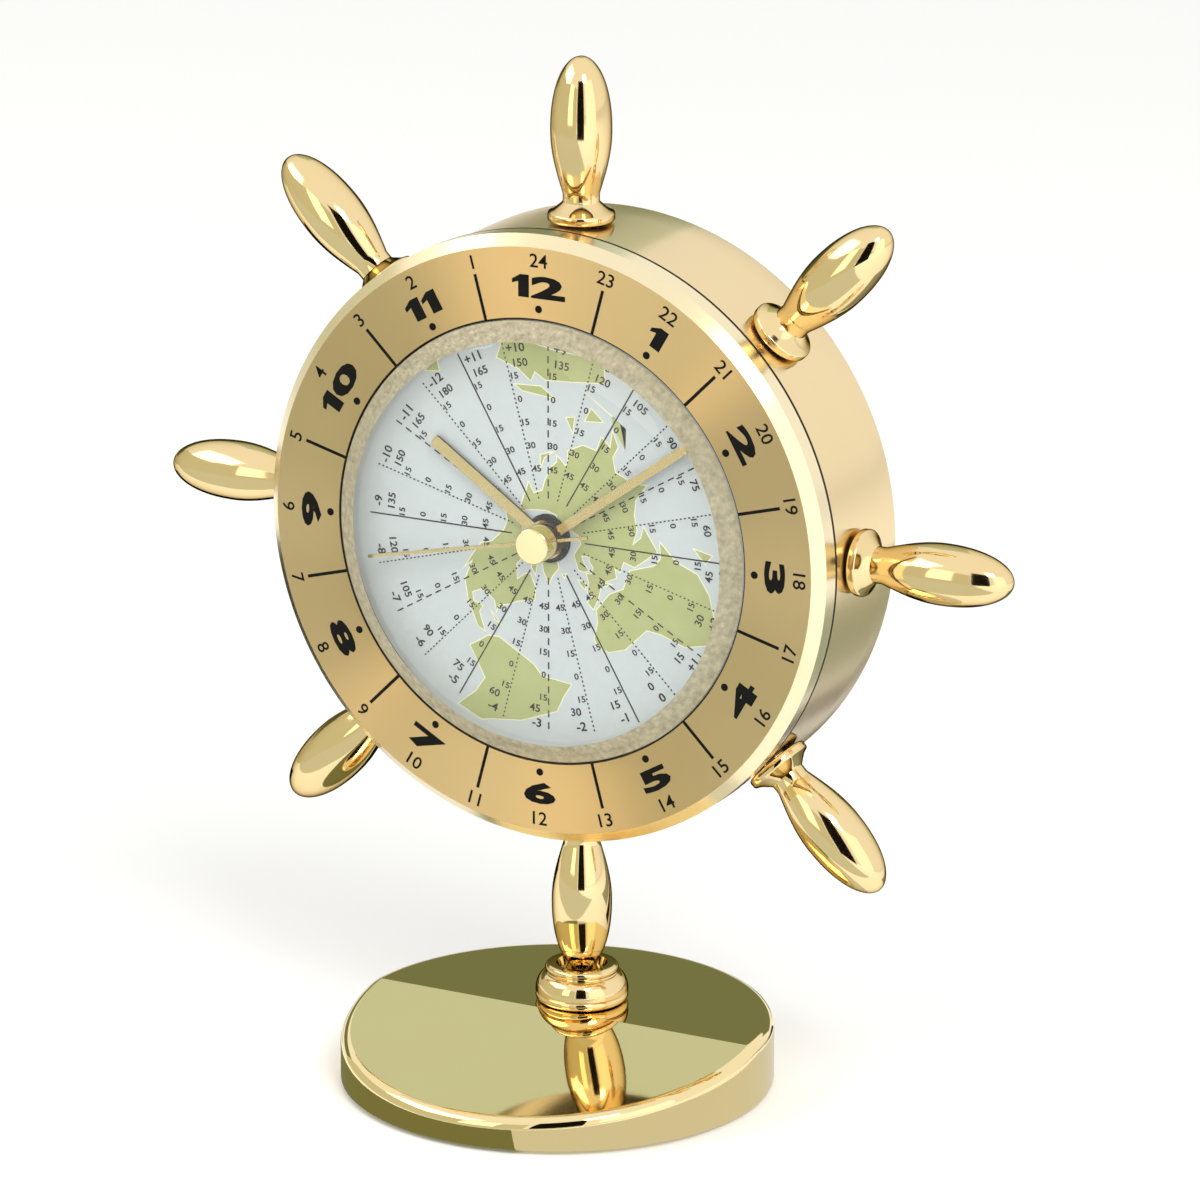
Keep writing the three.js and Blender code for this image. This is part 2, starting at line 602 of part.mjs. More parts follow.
function bezelRing() {
  const roundRadius = bezelRadius - BEZEL_ROUND;
  const roundY = faceY + BEZEL_ROUND;
  const lipBackY = faceY + BEZEL_LIP;
  const spigotBackY = bezelBackY + BEZEL_SPIGOT_LENGTH;
  const seatY = dialPlateFrontY - FIT_GAP;
  return turned([[DIAL_OPENING_RADIUS, faceY], [roundRadius, faceY],
    ...arcPoints([roundRadius, roundY], BEZEL_ROUND, -90, 0), [bezelRadius, roundY],
    [bezelRadius, bezelBackY], [spigotRadius, bezelBackY], [spigotRadius, spigotBackY],
    [spigotBore, spigotBackY], [spigotBore, seatY],
    [rabbetRadius, seatY], [rabbetRadius, lipBackY], [DIAL_OPENING_RADIUS, lipBackY],
    [DIAL_OPENING_RADIUS, faceY]], RIM_FACETS);
}

// Crystal: a low dome with a wide bevel that stands proud of the bezel, and a rim held behind its lip
function crystal() {
  const rim = DIAL_OPENING_RADIUS - FIT_GAP;
  const edge = rabbetRadius - FIT_GAP;
  const shoulder = rim - CRYSTAL_BEVEL_WIDTH;
  const shoulderY = faceY - CRYSTAL_BEVEL_RISE;
  const dome = (inwards) => Array.from({ length: CRYSTAL_STEPS + 1 }, (_, i) => {
    const share = i / CRYSTAL_STEPS;
    return [shoulder * share, THREE.MathUtils.lerp(crystalTopY, shoulderY, share ** 2) + inwards];
  });
  const innerRim = rim - CRYSTAL_THICKNESS;
  return turned([...dome(0), [rim, faceY], [rim, crystalFrontY], [edge, crystalFrontY], [edge, crystalBackY],
    [innerRim, crystalBackY], [innerRim, faceY + CRYSTAL_THICKNESS / 2],
    ...dome(CRYSTAL_THICKNESS).reverse()], RIM_FACETS);
}

addPiece(wheel, "drum_case", drumCase(), satinGold());
addPiece(wheel, "bezel_ring", bezelRing(), satinGold());
const glass = standard(0xf4f8fa, 0.05, 0);
glass.transparent = true;
glass.opacity = 0.15;
addPiece(wheel, "crystal", crystal(), glass);
addPiece(wheel, "inner_ring",
  tube(rabbetRadius - FIT_GAP, DIAL_OPENING_RADIUS, innerRingFrontY, innerRingBackY, RIM_FACETS),
  standard(0xb9b4a4, 0.6, 0.2));

// Dial: the fixed plate that carries the movement, and the map disc that turns in front of it
const movementScrewPlaces = [-1, 1].map((side) =>
  [side * (trainHalf + HOUSING_WALL - MOVEMENT_SCREW_INSET), trainTop + HOUSING_WALL - MOVEMENT_SCREW_INSET]);

function dialPlate() {
  const outline = disc(spigotBore - FIT_GAP, RIM_FACETS);
  outline.holes.push(roundHole(middle, DAY_HUB_RADIUS + RUN_GAP, HUB_FACETS));
  movementScrewPlaces.forEach((place) => outline.holes.push(roundHole(place, SCREW_RADIUS + RUN_GAP)));
  return plate(outline, dialPlateFrontY, dialPlateBackY);
}

addPiece(wheel, "dial_plate", dialPlate(), steel());
addPiece(wheel, "map_disc",
  tube(rabbetRadius - 2 * RUN_GAP, DAY_HUB_RADIUS + FIT_GAP, mapFrontY, mapBackY, RIM_FACETS),
  standard(0xcdd6d8, 0.7, 0));

// Hands: flat batons on round hubs, set to the shown time
function hand(inset, width, tail, hubRadius, bore, turnDeg, frontY) {
  const length = DIAL_OPENING_RADIUS - inset;
  const blade = roundedOutline(-width / 2, -tail, width / 2, length, width / 4);
  const hub = disc(hubRadius, HUB_FACETS);
  const backY = frontY + HAND_THICKNESS;
  const flat = join(plate(blade, frontY, backY), plate(hub, frontY, backY));
  const hole = pin(bore + FIT_GAP, frontY - CUT_REACH, backY + CUT_REACH, middle, HUB_FACETS);
  return cut(flat, hole).rotateY(THREE.MathUtils.degToRad(turnDeg));
}

const HOUR_DEGREES = 30;
const MINUTE_DEGREES = 6;
const hourTurn = HOUR_DEGREES * (SHOWN_HOUR + SHOWN_MINUTE / 60);
addPiece(wheel, "hour_hand", hand(HOUR_HAND_INSET, HOUR_HAND_WIDTH, 0, HOUR_HUB_RADIUS,
  hourTubeRadius, hourTurn, hourHandY), satinGold());
addPiece(wheel, "minute_hand", hand(MINUTE_HAND_INSET, MINUTE_HAND_WIDTH, 0, MINUTE_HUB_RADIUS,
  minuteTubeRadius, MINUTE_DEGREES * SHOWN_MINUTE, minuteHandY), satinGold());
addPiece(wheel, "second_hand", hand(SECOND_HAND_INSET, SECOND_HAND_WIDTH, SECOND_HAND_TAIL, SECOND_HUB_RADIUS,
  SECOND_ARBOR_RADIUS, MINUTE_DEGREES * SHOWN_SECOND, secondHandY), polishedGold());
addPiece(wheel, "hand_cap", turned([[0, capFrontY], [HAND_CAP_RADIUS - HAND_CAP_EDGE, capFrontY],
  [HAND_CAP_RADIUS, capFrontY + HAND_CAP_EDGE], [HAND_CAP_RADIUS, capBackY], [0, capBackY]], HUB_FACETS),
polishedGold());

// Movement housing: a front plate, and a rear shell that is open behind the battery
const housingOutline = () => roundedOutline(-trainHalf - HOUSING_WALL, bayBottom - HOUSING_WALL,
  trainHalf + HOUSING_WALL, trainTop + HOUSING_WALL, HOUSING_CORNER);
const trainOutline = (inset) => roundedOutline(-trainHalf + inset, trainBottom + inset,
  trainHalf - inset, trainTop - inset, HOUSING_CORNER - HOUSING_WALL);

const statorLeft = rotorPlace[0] - STATOR_BLOCK_SIDE;
const statorRight = rotorPlace[0] + STATOR_BLOCK_SIDE;
const statorTop = rotorPlace[1] + STATOR_BLOCK_WIDTH / 2;
const statorBottom = rotorPlace[1] - STATOR_BLOCK_WIDTH / 2;
const coilLeft = statorLeft - STATOR_BAR_BARE - COIL_LENGTH;
const statorBarEnd = coilLeft - SEAT_GAP - 2 * STATOR_POST_RADIUS;
const postPlaces = [[statorBarEnd + STATOR_POST_RADIUS, rotorPlace[1]],
  [statorRight - STATOR_POST_RADIUS, statorTop - STATOR_POST_RADIUS]];

function movementFront() {
  const outline = housingOutline();
  outline.holes.push(roundHole(middle, DAY_HUB_RADIUS + RUN_GAP, HUB_FACETS));
  [idlerPlace, settingPlace].forEach((place) =>
    outline.holes.push(roundHole(place, ARBOR_RADIUS + RUN_GAP)));
  movementScrewPlaces.forEach((place) => outline.holes.push(roundHole(place, SCREW_RADIUS + RUN_GAP)));
  return plate(outline, housingFrontY, housingInnerY);
}

function movementRear() {
  const frontY = housingInnerY + FIT_GAP;
  const openFrontY = frontY - CUT_REACH;
  const openBackY = rearWallBackY + CUT_REACH;
  const block = plate(housingOutline(), frontY, rearWallBackY);
  const train = plate(trainOutline(0), openFrontY, rearWallFrontY);
  const bay = box([-bayHalf, openFrontY, bayBottom], [bayHalf, openBackY, bayTop]);
  const partitionGap = box([-bayHalf, openFrontY, bayTop - CUT_REACH],
    [bayHalf, levelY(CENTRE_LEVEL), trainBottom + CUT_REACH]);
  const holeFrontY = rearWallFrontY - CUT_REACH;
  const holes = [idlerPlace, thirdPlace, stepPlace, rotorPlace, middle, settingPlace].map((place) =>
    pin(ARBOR_RADIUS + RUN_GAP, holeFrontY, openBackY, place));
  const screwHoles = movementScrewPlaces.map((place) =>
    pin(SCREW_RADIUS + RUN_GAP, holeFrontY, openBackY, place));
  const posts = postPlaces.map((place) => pin(STATOR_POST_RADIUS, statorBackY + SEAT_GAP, arborBackY, place));
  return join(cut(block, train, bay, partitionGap, ...holes, ...screwHoles), ...posts);
}

// Bridge: the plate between the wheels that set the hands and the running train
function trainBridge() {
  const outline = trainOutline(FIT_GAP);
  outline.holes.push(roundHole(middle, minuteTubeRadius + RUN_GAP, HUB_FACETS));
  [minutePlace, idlerPlace, settingPlace, thirdPlace].forEach((place) =>
    outline.holes.push(roundHole(place, ARBOR_RADIUS + RUN_GAP)));
  movementScrewPlaces.forEach((place) => outline.holes.push(roundHole(place, SCREW_RADIUS + RUN_GAP)));
  return plate(outline, levelY(BRIDGE_LEVEL), wheelBackY(BRIDGE_LEVEL));
}

// A screw whose head lies behind what it holds
function screw(tipY, headY, place) {
  const endY = headY + SCREW_HEAD_HEIGHT;
  return turned([[0, tipY], [SCREW_RADIUS, tipY], [SCREW_RADIUS, headY], [SCREW_HEAD_RADIUS, headY],
    [SCREW_HEAD_RADIUS, endY], [0, endY]], PIN_FACETS).translate(place[0], 0, place[1]);
}

addPiece(wheel, "movement_front", movementFront(), blackPlastic());
addPiece(wheel, "train_bridge", trainBridge(), brass());
addPiece(wheel, "movement_rear", movementRear(), blackPlastic());
movementScrewPlaces.forEach((place, i) => {
  const geometry = screw(dialPlateFrontY, rearWallBackY + FIT_GAP, place);
  addPiece(wheel, `movement_screw_${i + 1}`, geometry, steel());
});

// Wheels that set and carry the hands and the map disc
const minuteWheelBearing = gapTowards(minutePlace, middle, MINUTE_WHEEL_TEETH);

// The bearing of a tooth of a wheel that meshes with the minute wheel away from the middle: where it faces
// the minute wheel it has a gap for each tooth there
function meshedBearing(place, teeth) {
  const toothStep = 360 / MINUTE_WHEEL_TEETH;
  const offset = (bearingTo(minutePlace, place) - minuteWheelBearing) / toothStep;
  return bearingTo(place, minutePlace) + (offset - Math.floor(offset) + 0.5) * (360 / teeth);
}

// A wheel on a tube about the middle, with a hole right through
function tubeWheel(wheelGeometry, radius, bore, frontY, backY) {
  const sleeve = pin(radius, frontY, backY, middle, HUB_FACETS);
  const hole = pin(bore, frontY - CUT_REACH, backY + CUT_REACH, middle, HUB_FACETS);
  return cut(join(wheelGeometry, sleeve), hole);
}

const cannonGear = gear(CANNON_TEETH, MOTION_MODULE, MOTION_LEVEL, bearingTo(middle, minutePlace));
addPiece(wheel, "cannon_pinion", tubeWheel(cannonGear, minuteTubeRadius, secondTubeBore,
  minuteHandY - FIT_GAP, wheelBackY(CENTRE_LEVEL)), brass());

const hourGear = gear(HOUR_WHEEL_TEETH, HOUR_MODULE, HOUR_LEVEL, bearingTo(middle, minutePlace));
addPiece(wheel, "hour_wheel", tubeWheel(hourGear, hourTubeRadius, hourTubeBore,
  hourHandY - FIT_GAP, wheelBackY(HOUR_LEVEL)), whitePlastic());

const dayGear = gear(DAY_WHEEL_TEETH, DAY_MODULE, DAY_LEVEL, bearingTo(middle, idlerPlace));
addPiece(wheel, "day_wheel", tubeWheel(dayGear, DAY_HUB_RADIUS, dayTubeBore,
  mapFrontY - SEAT_GAP, wheelBackY(DAY_LEVEL)), blackPlastic());

addPiece(wheel, "minute_wheel", join(
  gear(MINUTE_WHEEL_TEETH, MOTION_MODULE, MOTION_LEVEL, minuteWheelBearing, minutePlace),
  gear(MINUTE_PINION_TEETH, HOUR_MODULE, HOUR_LEVEL,
    gapTowards(minutePlace, middle, MINUTE_PINION_TEETH), minutePlace),
  pin(ARBOR_RADIUS, levelY(HOUR_LEVEL), bridgeMiddleY, minutePlace)), whitePlastic());

addPiece(wheel, "day_idler", join(
  gear(IDLER_WHEEL_TEETH, MOTION_MODULE, MOTION_LEVEL,
    meshedBearing(idlerPlace, IDLER_WHEEL_TEETH), idlerPlace),
  gear(IDLER_PINION_TEETH, DAY_MODULE, DAY_LEVEL,
    gapTowards(idlerPlace, middle, IDLER_PINION_TEETH), idlerPlace),
  pin(ARBOR_RADIUS, arborFrontY, arborBackY, idlerPlace)), whitePlastic());

const knobFrontY = rearWallBackY + SEAT_GAP;
const knobBackY = coverBackY + KNOB_PROUD;
const shaftEndY = (knobFrontY + knobBackY) / 2;
addPiece(wheel, "setting_shaft", join(
  gear(SETTING_TEETH, MOTION_MODULE, MOTION_LEVEL, meshedBearing(settingPlace, SETTING_TEETH), settingPlace),
  pin(ARBOR_RADIUS, arborFrontY, shaftEndY, settingPlace)), brass());

function settingKnob() {
  const points = Array.from({ length: 2 * KNOB_RIBS }, (_, i) =>
    new THREE.Vector2(...away(middle, (180 * i) / KNOB_RIBS, KNOB_RADIUS - (i % 2) * KNOB_RIB_DEPTH)));
  const body = plate(new THREE.Shape(points), knobFrontY, knobBackY);
  const socket = pin(ARBOR_RADIUS + FIT_GAP, knobFrontY - CUT_REACH, shaftEndY + FIT_GAP);
  return cut(body, socket).translate(settingPlace[0], 0, settingPlace[1]);
}
addPiece(wheel, "setting_knob", settingKnob(), blackPlastic());

// Running train from the rotor to the centre wheel
addPiece(wheel, "centre_wheel", gear(CENTRE_WHEEL_TEETH, CENTRE_MODULE, CENTRE_LEVEL,
  bearingTo(middle, thirdPlace), middle, minuteTubeRadius + RUN_GAP), brass());

addPiece(wheel, "third_wheel", join(
  gear(THIRD_WHEEL_TEETH, THIRD_MODULE, THIRD_LEVEL,
    gapTowards(thirdPlace, middle, THIRD_WHEEL_TEETH), thirdPlace),
  gear(THIRD_PINION_TEETH, CENTRE_MODULE, CENTRE_LEVEL,
    gapTowards(thirdPlace, middle, THIRD_PINION_TEETH), thirdPlace),
  pin(ARBOR_RADIUS, bridgeMiddleY, arborBackY, thirdPlace)), whitePlastic());

addPiece(wheel, "second_wheel", join(
  gear(SECOND_WHEEL_TEETH, SECOND_MODULE, SECOND_LEVEL, bearingTo(middle, stepPlace)),
  gear(SECOND_PINION_TEETH, THIRD_MODULE, THIRD_LEVEL, bearingTo(middle, thirdPlace)),
  pin(SECOND_ARBOR_RADIUS, secondHandY, arborBackY)), brass());

addPiece(wheel, "step_wheel", join(
  gear(STEP_WHEEL_TEETH, STEP_MODULE, STEP_LEVEL,
    gapTowards(stepPlace, rotorPlace, STEP_WHEEL_TEETH), stepPlace),
  gear(STEP_PINION_TEETH, SECOND_MODULE, SECOND_LEVEL,
    gapTowards(stepPlace, middle, STEP_PINION_TEETH), stepPlace),
  pin(ARBOR_RADIUS, levelY(SECOND_LEVEL), arborBackY, stepPlace)), whitePlastic());

const magnetFrontY = statorMiddleY - ROTOR_LENGTH / 2;
const magnetBackY = statorMiddleY + ROTOR_LENGTH / 2;
addPiece(wheel, "rotor", join(
  gear(ROTOR_PINION_TEETH, STEP_MODULE, STEP_LEVEL, bearingTo(rotorPlace, stepPlace), rotorPlace),
  pin(ROTOR_RADIUS, magnetFrontY, magnetBackY, rotorPlace, HUB_FACETS),
  pin(ARBOR_RADIUS, levelY(STEP_LEVEL), arborBackY, rotorPlace)), standard(0x4a4d52, 0.4, 0.8));

// Motor and circuit board
function stator() {
  const block = roundedOutline(statorLeft, statorBottom, statorRight, statorTop, STATOR_BLOCK_CORNER);
  block.holes.push(roundHole(rotorPlace, ROTOR_RADIUS + SEAT_GAP + RUN_GAP, HUB_FACETS));
  const bar = box([statorBarEnd, statorFrontY, rotorPlace[1] - STATOR_BAR_WIDTH / 2],
    [statorLeft + STATOR_BLOCK_CORNER, statorBackY, rotorPlace[1] + STATOR_BAR_WIDTH / 2]);
  return join(plate(block, statorFrontY, statorBackY), bar);
}

function coil() {
  const bore = Math.hypot(STATOR_BAR_WIDTH, STATOR_THICKNESS) / 2 + SEAT_GAP;
  return tube(COIL_RADIUS, bore, 0, COIL_LENGTH).rotateZ(-Math.PI / 2)
    .translate(coilLeft, statorMiddleY, rotorPlace[1]);
}

function circuitBoard() {
  const left = -trainHalf + BOARD_MARGIN;
  const bottom = thirdPlace[1] + BOARD_LIFT;
  const backY = rearWallFrontY - SEAT_GAP;
  return box([left, backY - BOARD_THICKNESS, bottom], [left + BOARD_WIDTH, backY, bottom + BOARD_HEIGHT]);
}

addPiece(wheel, "stator", stator(), steel());
addPiece(wheel, "coil", coil(), standard(0xb5652c, 0.4, 0.7));
addPiece(wheel, "circuit_board", circuitBoard(), standard(0x2e6b3f, 0.6, 0));

// Battery and its two contacts
function battery() {
  const shoulder = BATTERY_NUB_LENGTH;
  const end = BATTERY_NUB_LENGTH + BATTERY_LENGTH;
  return turned([[0, 0], [BATTERY_NUB_RADIUS, 0], [BATTERY_NUB_RADIUS, shoulder], [BATTERY_RADIUS, shoulder],
    [BATTERY_RADIUS, end], [0, end]], HUB_FACETS)
    .rotateZ(Math.PI / 2).translate(end / 2, batteryY, batteryHeight);
}

function contact(side) {
  const middleX = side * (bayHalf - FIT_GAP - CONTACT_THICKNESS / 2);
  return new THREE.BoxGeometry(CONTACT_THICKNESS, CONTACT_WIDTH, CONTACT_HEIGHT)
    .translate(middleX, batteryY, batteryHeight);
}

addPiece(wheel, "battery", battery(), standard(0x8a8d93, 0.35, 0.8));
addPiece(wheel, "battery_contact_positive", contact(1), steel());
addPiece(wheel, "battery_contact_negative", contact(-1), steel());

// Back of the case: a round cover with a hole for the setting knob and a door over the battery
const doorHalf = BATTERY_LENGTH / 2 + DOOR_MARGIN;
const doorOutline = (gap) => roundedOutline(-doorHalf - gap, batteryHeight - BATTERY_RADIUS - gap,
  doorHalf + gap, batteryHeight + BATTERY_RADIUS + gap, DOOR_CORNER + gap);

function backCover() {
  const outline = disc(drumBore - FIT_GAP, RIM_FACETS);
  outline.holes.push(roundHole(settingPlace, KNOB_RADIUS + SEAT_GAP + RUN_GAP, HUB_FACETS));
  outline.holes.push(new THREE.Path(doorOutline(SEAT_GAP).getPoints()));
  coverScrewPlaces.forEach((place) => outline.holes.push(roundHole(place, SCREW_RADIUS + RUN_GAP)));
  return plate(outline, coverFrontY, coverBackY);
}

function batteryDoor() {
  const panel = plate(doorOutline(0), coverFrontY, coverBackY);
  const insideY = (coverFrontY + coverBackY) / 2;
  const ribs = [];
  for (let i = 0; i < DOOR_RIB_COUNT; i += 1) {
    const height = batteryHeight + (i - (DOOR_RIB_COUNT - 1) / 2) * 2 * DOOR_RIB_WIDTH;
    ribs.push(box([-DOOR_RIB_LENGTH / 2, insideY, height - DOOR_RIB_WIDTH / 2],
      [DOOR_RIB_LENGTH / 2, drumBackY, height + DOOR_RIB_WIDTH / 2]));
  }
  const reach = DOOR_TONGUE_LENGTH / 2;
  const tongue = box([-reach, batteryBackY + SEAT_GAP, batteryHeight - DOOR_TONGUE_WIDTH / 2],
    [reach, insideY, batteryHeight + DOOR_TONGUE_WIDTH / 2]);
  return join(panel, tongue, ...ribs);
}

addPiece(wheel, "back_cover", backCover(), blackPlastic());
addPiece(wheel, "battery_door", batteryDoor(), blackPlastic());
coverScrewPlaces.forEach((place, i) => {
  const geometry = screw(ledgeFrontY, coverBackY + FIT_GAP, place);
  addPiece(wheel, `back_cover_screw_${i + 1}`, geometry, steel());
});

export default clock;
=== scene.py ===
import math

import bmesh
import bpy
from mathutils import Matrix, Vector


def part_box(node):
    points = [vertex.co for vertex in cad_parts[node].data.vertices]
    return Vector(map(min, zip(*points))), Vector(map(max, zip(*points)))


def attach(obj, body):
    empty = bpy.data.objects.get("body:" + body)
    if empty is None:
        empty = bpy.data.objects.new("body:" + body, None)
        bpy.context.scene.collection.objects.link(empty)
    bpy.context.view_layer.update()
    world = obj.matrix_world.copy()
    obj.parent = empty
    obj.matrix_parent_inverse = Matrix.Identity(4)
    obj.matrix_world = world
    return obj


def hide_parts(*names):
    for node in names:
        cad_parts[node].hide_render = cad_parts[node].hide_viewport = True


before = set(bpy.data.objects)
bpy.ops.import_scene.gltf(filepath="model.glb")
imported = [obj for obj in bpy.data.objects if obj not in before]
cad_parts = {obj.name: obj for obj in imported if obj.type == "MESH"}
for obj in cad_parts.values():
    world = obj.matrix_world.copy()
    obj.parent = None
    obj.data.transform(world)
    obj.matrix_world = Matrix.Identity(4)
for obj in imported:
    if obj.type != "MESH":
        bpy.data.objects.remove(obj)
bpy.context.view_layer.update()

# Studio: a pale floor, soft lamps and a bright room round the clock, seen from the right and a little above.
# Dark and tinted cards round the clock give the polished gold its bands. They show only in reflections.
CAMERA_PLACE = (0.48116, -0.89149, 0.38171)
CAMERA_AIM = (0.00247, 0.00931, 0.07458)
CAMERA_LENS = 210
SENSOR_WIDTH = 36
NEAREST_SEEN = 0.01
FARTHEST_SEEN = 50
FLOOR_SIZE = 40
FLOOR_DROP = 0.0002
FLOOR_COLOUR = (0.92, 0.92, 0.91, 1)
FLOOR_SHADE = (0.9062, 0.9062, 0.89635, 1)
FLOOR_CLOUD = 4
FLOOR_ROUGHNESS = 0.9
FLOOR_SHINE = 0.1
FLOOR_GLOW = 0.08
ROOM_COLOUR = (1, 1, 0.985, 1)
ROOM_LIGHT = 0.8
LAMP_AIM = (0, 0, 0.08)
# Lamps: name, place, size and watts
LAMPS = [("key_lamp", (0.75, -0.55, 1.0), 0.6, 8), ("left_lamp", (-0.9, -0.7, 0.7), 0.7, 5)]
LEFT_CARD_COLOUR = (0.66, 0.66, 0.52, 1)
# Painted shadow: the near black floor where the clock's shadow falls, seen only in the gold
FLOOR_SHADOW_COLOUR = (0.02, 0.02, 0.01, 1)
# Cards that stand facing the clock: name, colour, bearing (counted as the camera's is), distance, width,
# foot and top
STANDING_CARDS = [("camera_flag", (0.008, 0.007, 0.006, 1), 26, 0.5, 0.23, 0.0, 0.5),
                  ("left_card", LEFT_CARD_COLOUR, -18, 0.56, 0.6, 0.0, 0.42),
                  ("side_card", LEFT_CARD_COLOUR, -75, 0.6, 0.75, 0.0, 0.42),
                  ("bright_card", (1.9, 1.75, 1.4, 1), -14, 0.5, 0.16, 0.08, 0.4),
                  ("right_card", (1.4, 1.38, 1.3, 1), 66, 0.7, 0.5, 0.02, 0.6),
                  ("back_card", (0.19, 0.215, 0.11, 1), 218, 0.8, 1.52, 0.15, 0.42),
                  ("top_card", (0.62, 0.7, 0.6, 1), 208, 0.82, 0.36, 0.42, 1.3)]
# Cards that hang over the front and are aimed at the wheel: name, colour, place, width and height
CARD_AIM = (0, 0, 0.087)
AIMED_CARDS = [("front_top_card", (4.1, 3.25, 2.5, 1), (-0.56, -0.39, 0.6), 0.7, 0.45),
               ("right_top_card", (9.5, 7.6, 5.7, 1), (0.462, -0.431, 0.656), 0.22, 0.2)]
# Cards that lie on the floor: name, colour, left, right, front and back. All but the front one are painted
# shadow: the floor behind and beside the clock darkened where its shadow falls, seen only in the gold.
FLOOR_CARDS = [("front_floor_card", (0.68, 0.72, 0.64, 1), -1.2, 0.13, -0.9, -0.048),
               ("right_floor_shade_card", (0.36, 0.4, 0.33, 1), 0.056, 0.14, 0.06, 0.3),
               ("rear_floor_shadow_card", FLOOR_SHADOW_COLOUR, -0.25, 0.01, 0.048, 0.3),
               ("shadow_streak_card", FLOOR_SHADOW_COLOUR, 0.026, 0.046, 0.05, 0.4)]
# Half discs on the floor round the base: name, colour, and its left (-1) or right (1) side. Both are
# painted shade: the floor close round the base darkened, seen only in the gold.
NEAR_SHADE_CARDS = [("near_left_shade_card", (0.2, 0.21, 0.09, 1), -1), ("near_right_shade_card", (0.7, 0.7, 0.64, 1), 1)]
NEAR_REACH = 0.047
NEAR_SPLIT = 0.01
NEAR_FACETS = 64
CARD_LIFT = 0.0004

scene = bpy.context.scene
scene.view_settings.view_transform = "Standard"


def facing(place, aim):
    return (Vector(aim) - Vector(place)).to_track_quat("-Z", "Y").to_euler()


bpy.ops.object.camera_add(location=CAMERA_PLACE)
camera = bpy.context.object
camera.name = "camera"
camera.rotation_euler = facing(CAMERA_PLACE, CAMERA_AIM)
camera.data.lens = CAMERA_LENS
camera.data.sensor_width = SENSOR_WIDTH
camera.data.clip_start = NEAREST_SEEN
camera.data.clip_end = FARTHEST_SEEN
scene.camera = camera


def add_node(tree, kind, values=None, **settings):
    # A node with its settings made and the given values on its sockets
    node = tree.nodes.new(kind)
    for name, setting in settings.items():
        setattr(node, name, setting)
    for socket, value in (values or {}).items():
        node.inputs[socket].default_value = value
    return node


def wire(tree, *runs):
    # Each run names a node, its output, the next node and its input
    for node, output, next_node, socket in runs:
        tree.links.new(node.outputs[output], next_node.inputs[socket])


def start_material(name, values):
    # A material with the given values on the sockets of its shader
    made = bpy.data.materials.new(name)
    made.use_nodes = True
    shader = made.node_tree.nodes["Principled BSDF"]
    for socket, value in values.items():
        shader.inputs[socket].default_value = value
    return made, made.node_tree, shader


def seen_rays(tree):
    # One for what the camera sees, the gold mirrors or the crystal lets through, none for the room's light
    ray_kind = add_node(tree, "ShaderNodeLightPath")
    seen = ray_kind.outputs["Is Camera Ray"]
    for kind in ("Is Glossy Ray", "Is Transmission Ray"):
        either = add_node(tree, "ShaderNodeMath", operation="MAXIMUM")
        tree.links.new(seen, either.inputs[0])
        tree.links.new(ray_kind.outputs[kind], either.inputs[1])
        seen = either.outputs["Value"]
    return seen


paper, paper_tree, paper_shader = start_material("floor_paper", {"Roughness": FLOOR_ROUGHNESS,
                                                                 "Specular IOR Level": FLOOR_SHINE,
                                                                 "Emission Color": ROOM_COLOUR})
paper_place = add_node(paper_tree, "ShaderNodeTexCoord")
paper_cloud = add_node(paper_tree, "ShaderNodeTexNoise", {"Scale": FLOOR_CLOUD})
paper_tint = add_node(paper_tree, "ShaderNodeMix", {"A": FLOOR_COLOUR, "B": FLOOR_SHADE}, data_type="RGBA")
paper_glow = add_node(paper_tree, "ShaderNodeMath", {1: FLOOR_GLOW}, operation="MULTIPLY")
paper_tree.links.new(seen_rays(paper_tree), paper_glow.inputs[0])
wire(paper_tree, (paper_place, "Object", paper_cloud, "Vector"), (paper_cloud, "Fac", paper_tint, "Factor"),
     (paper_tint, "Result", paper_shader, "Base Color"),
     (paper_glow, "Value", paper_shader, "Emission Strength"))


def deselect():
    bpy.ops.object.select_all(action="DESELECT")


deselect()
bpy.ops.mesh.primitive_plane_add(size=FLOOR_SIZE, location=(0, 0, -FLOOR_DROP))
floor = bpy.context.object
floor.name = "floor"
floor.data.materials.append(paper)

world = bpy.data.worlds.new("room")
scene.world = world
world.use_nodes = True
background = world.node_tree.nodes["Background"]
background.inputs["Color"].default_value = ROOM_COLOUR
room_strength = add_node(world.node_tree, "ShaderNodeMapRange", {"To Min": ROOM_LIGHT, "To Max": 1})
world.node_tree.links.new(seen_rays(world.node_tree), room_strength.inputs["Value"])
wire(world.node_tree, (room_strength, "Result", background, "Strength"))

for name, place, size, watts in LAMPS:
    bpy.ops.object.light_add(type="AREA", location=place)
    lamp = bpy.context.object
    lamp.name = name
    lamp.rotation_euler = facing(place, LAMP_AIM)
    lamp.data.size = size
    lamp.data.energy = watts
    lamp.visible_glossy = False


def only_mirrored(name, colour):
    # Makes the shape just added a glowing card that shows in the gold and nowhere else
    bpy.ops.object.transform_apply(location=True, rotation=True, scale=True)
    card = bpy.context.object
    card.name = name
    glowing, tree, shader = start_material(name, {})
    tree.nodes.remove(shader)
    glow = add_node(tree, "ShaderNodeEmission", {"Color": colour})
    wire(tree, (glow, "Emission", tree.nodes["Material Output"], "Surface"))
    card.data.materials.append(glowing)
    card.visible_camera = False
    card.visible_diffuse = False
    card.visible_transmission = False
    card.visible_shadow = False


def add_card(name, colour, place, turn, width, height):
    deselect()
    bpy.ops.mesh.primitive_plane_add(size=1, location=place, rotation=turn)
    bpy.context.object.scale = (width, height, 1)
    only_mirrored(name, colour)


def edit_all():
    # Opens the active piece for editing with all of it selected
    bpy.ops.object.mode_set(mode="EDIT")
    bpy.ops.mesh.select_mode(type="EDGE")
    bpy.ops.mesh.select_all(action="SELECT")


def end_edit():
    bpy.ops.object.mode_set(mode="OBJECT")


